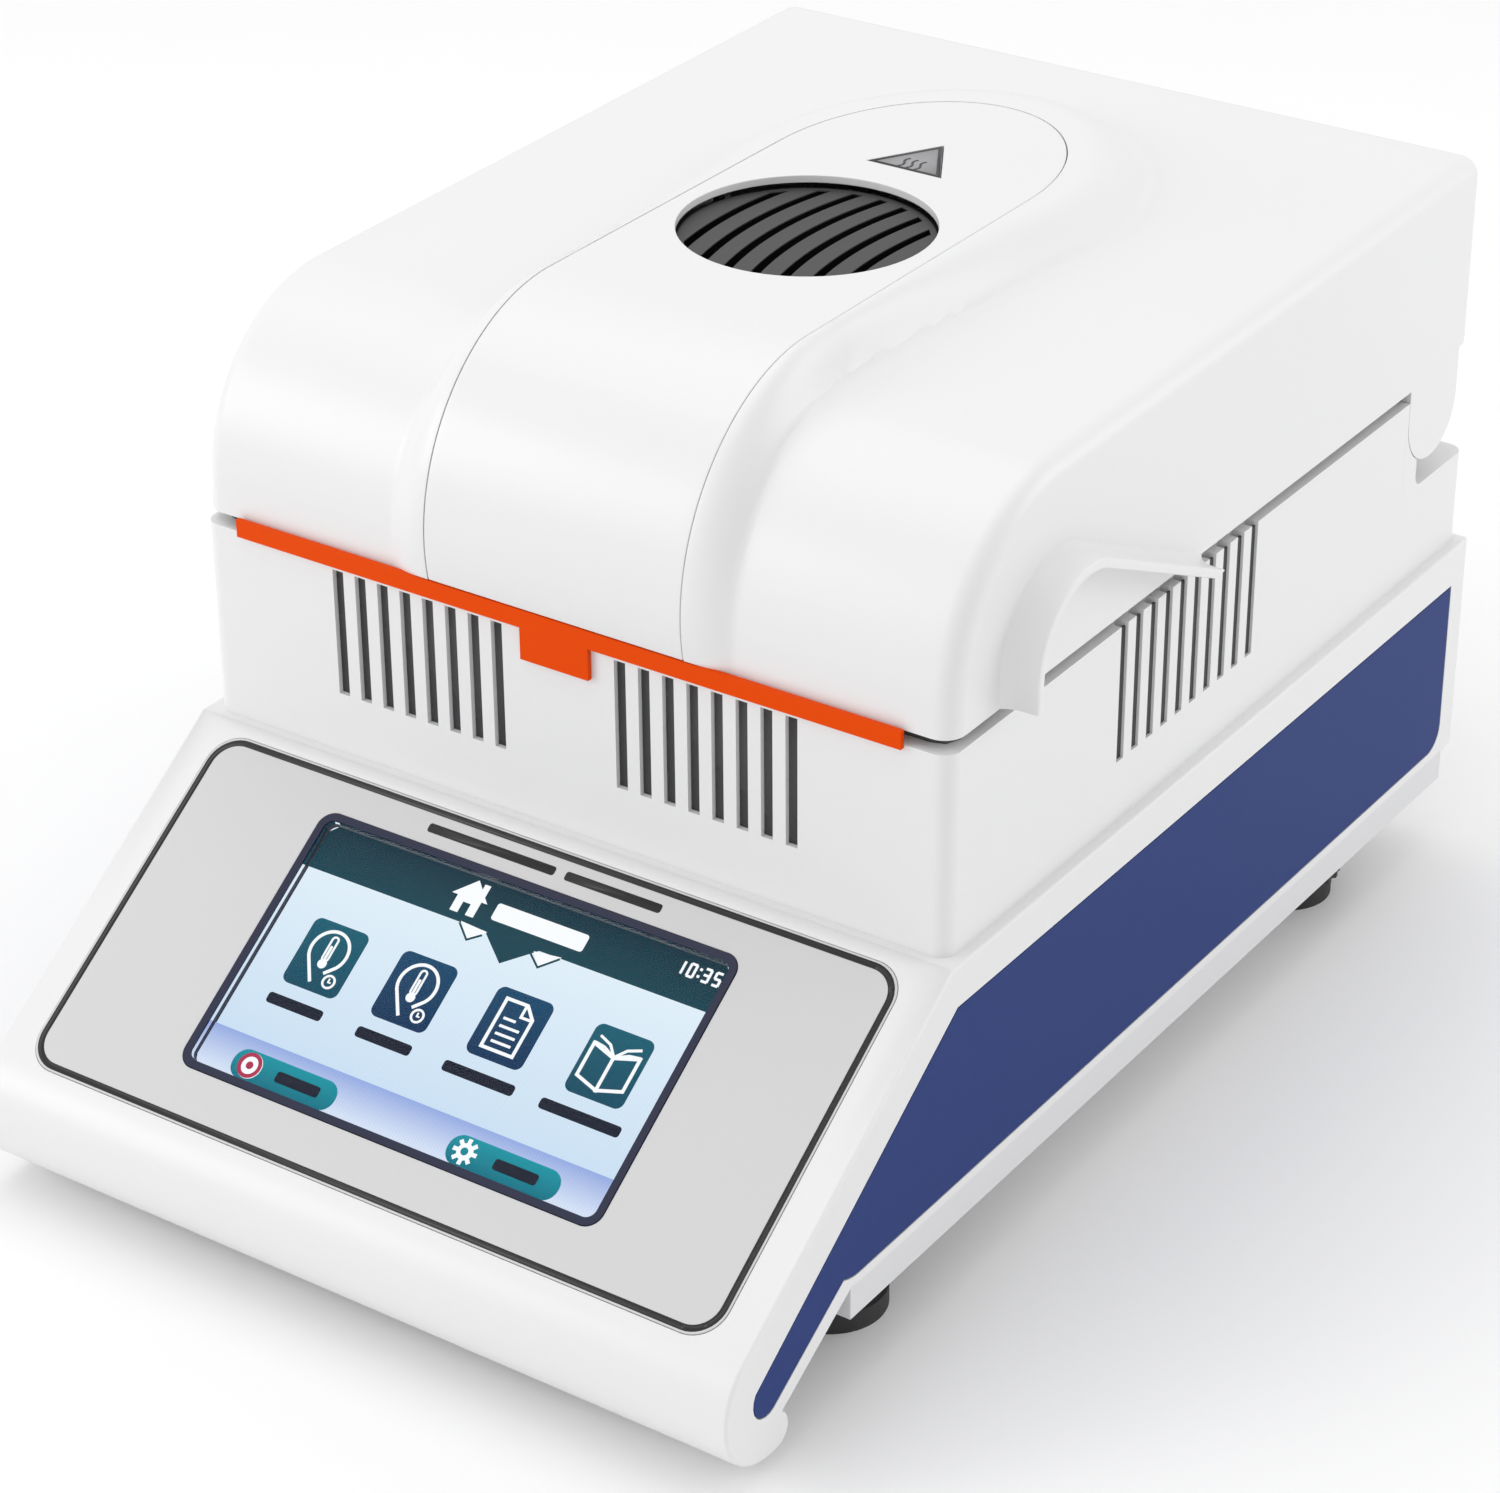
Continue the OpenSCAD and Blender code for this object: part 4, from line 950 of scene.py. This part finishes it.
shown("field", [rounded(-DISPLAY_X, -DISPLAY_Y, DISPLAY_X, DISPLAY_Y, 2.2)], 0, "field")
shown("header", [[(-DISPLAY_X, 20.2), (-5.2, 20.2), (2.2, 14.4), (9.6, 20.2), (DISPLAY_X, 20.2),
                  (DISPLAY_X, INNER_Y), (INNER_X, DISPLAY_Y), (-INNER_X, DISPLAY_Y),
                  (-DISPLAY_X, INNER_Y)]], 1, "header")
shown("footer", [[(-DISPLAY_X, -21.2), (-DISPLAY_X, -INNER_Y), (-INNER_X, -DISPLAY_Y),
                  (INNER_X, -DISPLAY_Y), (DISPLAY_X, -INNER_Y), (DISPLAY_X, -21.2)]], 1, "footer")
print("display layers made")

# %% Header: house, title bar, clock and the small chevrons
house = [[(-17.6, 26.0), (-12.8, 30.6), (-8.0, 26.0)],
         [(-16.0, 26.1), (-16.0, 22.0), (-13.9, 22.0), (-13.9, 24.8), (-11.7, 24.8), (-11.7, 22.0),
          (-9.6, 22.0), (-9.6, 26.1)],
         [(-10.9, 27.6), (-9.4, 26.2), (-9.4, 30.2), (-10.9, 30.2)]]
shown("house", house, 2, "white")
shown("title_bar", [rounded(-5.4, 23.1, 19.3, 27.3, 0.7)], 2, "white")

SEGMENTS = {"a": ((0, 2), (1, 2)), "b": ((1, 2), (1, 1)), "c": ((1, 1), (1, 0)),
            "d": ((0, 0), (1, 0)), "e": ((0, 1), (0, 0)), "f": ((0, 2), (0, 1)),
            "g": ((0, 1), (1, 1))}
DIGITS = {"0": "abcdef", "1": "bc", "3": "abgcd", "5": "afgcd"}

def digit(figure, x, y, width=1.45, rise=1.5, pen=0.55):
    """A clock figure drawn from seven short lines."""
    out = []
    for name in DIGITS[figure]:
        (x0, y0), (x1, y1) = SEGMENTS[name]
        out += pen_line([(x + x0 * width, y + y0 * rise), (x + x1 * width, y + y1 * rise)], pen)
    return out

clock = [rounded(x - 0.3, y - 0.3, x + 0.3, y + 0.3, 0.1) for x, y in ((47.9, 27.0), (47.9, 28.7))]
for figure, x in (("1", 42.2), ("0", 45.2), ("3", 49.0), ("5", 51.8)):
    clock += digit(figure, x, 26.3)
shown("clock", clock, 2, "white")
chevrons = pen_line([(-11.8, 19.9), (-8.0, 16.7), (-5.0, 18.9)], 0.45)
chevrons += pen_line([(15.6, 19.9), (11.6, 16.4), (8.2, 18.9)], 0.45)
shown("chevron_fill", [[(-11.8, 20.4), (-8.0, 16.9), (-4.4, 20.0)],
                       [(15.6, 20.4), (11.6, 16.6), (8.6, 19.6)]], 2, "white")
shown("chevron_lines", chevrons, 3, "header")
print("clock strokes:", len(clock))

# %% Four buttons with line drawings
BUTTONS = [("left", -45.8, -30.5, "teal", "drop"), ("second", -20.9, -5.7, "navy", "drop"),
           ("third", 5.4, 20.4, "navy", "sheet"), ("right", 31.8, 47.0, "teal", "book")]

def drop_drawing(cx, cy):
    """A round flask outline that narrows downwards, a thermometer in it, and a small clock ring."""
    bulb = [(cx + 4.9 * math.cos(math.radians(a)), cy + 1.6 + 4.9 * math.sin(math.radians(a)))
            for a in range(-38, 219, 8)]
    lines = pen_line([(cx - 0.5, cy - 6.4)] + list(reversed(bulb)) + [(cx + 1.6, cy - 3.6)], 0.75)
    lines += pen_line(rounded(cx - 0.8, cy - 0.9, cx + 0.8, cy + 5.2, 0.75, 4), 0.45, closed=True)
    lines += [circle(cx, cy - 1.6, 1.15, 16), rounded(cx - 0.3, cy - 1.0, cx + 0.3, cy + 3.0, 0.2)]
    lines += pen_line(circle(cx + 4.0, cy - 5.0, 1.5, 18), 0.5, closed=True)
    lines += pen_line([(cx + 3.9, cy - 4.2), (cx + 3.9, cy - 5.1), (cx + 4.6, cy - 5.1)], 0.35)
    return lines

def sheet_drawing(cx, cy):
    """A sheet of paper with a folded corner and four lines."""
    edge = [(cx - 4.2, cy - 6.0), (cx + 4.2, cy - 6.0), (cx + 4.2, cy + 3.2), (cx + 1.4, cy + 6.0),
            (cx - 4.2, cy + 6.0)]
    lines = pen_line(edge, 0.75, closed=True)
    lines += pen_line([(cx + 1.2, cy + 5.9), (cx + 1.2, cy + 3.0), (cx + 4.1, cy + 3.0)], 0.6)
    for row in range(4):
        y = cy + 1.6 - 1.9 * row
        lines += pen_line([(cx - 2.6, y), (cx + (0.6 if row == 0 else 2.6), y)], 0.6)
    return lines

def book_drawing(cx, cy):
    """An open book: two leaning pages, a spine, and the pages above."""
    lines = []
    for side in (-1, 1):
        page = [(0, -6.2), (6.0, -4.4), (6.0, 3.6), (0, 1.8)]
        leaf = [(0, 2.0), (2.2, 4.4), (5.4, 5.6)]
        under = [(0, 2.0), (3.2, 3.5), (6.0, 3.9)]
        for stroke, width in ((page, 0.75), (leaf, 0.6), (under, 0.5)):
            lines += pen_line([(cx + side * x, cy + y) for x, y in stroke], width, stroke is page)
    return lines

DRAWINGS = {"drop": drop_drawing, "sheet": sheet_drawing, "book": book_drawing}
for name, x0, x1, colour, drawing in BUTTONS:
    shown(f"button_{name}", [rounded(x0, -6.8, x1, 10.0, 1.9)], 1, colour)
    shown(f"drawing_{name}", DRAWINGS[drawing]((x0 + x1) / 2, 1.6), 2, "white")
label_bars = [rounded(x0, -12.6, x1, -10.0, 0.8)
              for x0, x1 in ((-46.5, -31.2), (-21.4, -6.4), (2.6, 21.6), (28.6, 49.6))]
shown("label_bars", label_bars, 1, "ink")
print("buttons:", len(BUTTONS))

# %% Two pills in the footer
RING_X, GEAR_X, PILL_Y = -40.8, 18.6, -27.6
TOOTH = ((2.0, -13), (3.1, -9), (3.1, 9), (2.0, 13))
shown("pills", [rounded(-45.7, -31.2, -17.0, -24.0, 3.4), rounded(14.0, -31.2, 43.3, -24.0, 3.4)],
      2, "pill")
ring = circle(RING_X, PILL_Y, 2.6, 24)
shown("ring_plate", [circle(RING_X, PILL_Y, 3.1, 24)], 3, "white")
shown("ring", pen_line(ring, 0.9, closed=True) + [circle(RING_X, PILL_Y, 0.9, 16)], 4, "red")
gear = [(GEAR_X + r * math.cos(math.radians(45 * i + turn)),
         PILL_Y + r * math.sin(math.radians(45 * i + turn))) for i in range(8) for r, turn in TOOTH]
shown("gear", [gear], 3, "white")
shown("gear_eye", [circle(GEAR_X, PILL_Y, 0.9, 16)], 4, "pill")
shown("pill_bars", [rounded(-33.4, -28.9, -21.4, -26.3, 0.7),
                    rounded(26.4, -28.9, 37.8, -26.3, 0.7)], 3, "ink")
print("gear corners:", len(gear))

# %% [markdown]
# ## Marks on the heat plate
# The small triangle behind the grille says that the lid gets hot. It has a dark rim and three wavy
# strokes, like rising heat.

# %% Heat mark
def triangle(radius):
    return circle(0, MARK_AT, radius, 3, math.pi / 2)

PLATE_TOP, INK_LOW, INK_HIGH = 195.38, 195.36, 195.44
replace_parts(flat_piece("heat_plate", [triangle(11.5)], 194.9, PLATE_TOP, level, "mark_grey", "lid"),
            "heat_mark")
flat_piece("heat_rim", pen_line(triangle(10.4), 0.9, closed=True), INK_LOW, INK_HIGH, level,
           "mark_grey", "lid", INK)
waves = []
for x in (-2.2, 0.0, 2.2):
    line = [(x + 0.55 * math.sin(i * math.pi / 3), 61.6 + i * 0.9) for i in range(7)]
    waves += pen_line(line, 0.55)
flat_piece("heat_waves", waves, INK_LOW, INK_HIGH, level, "mark_grey", "lid", INK)
print("heat strokes:", len(waves))
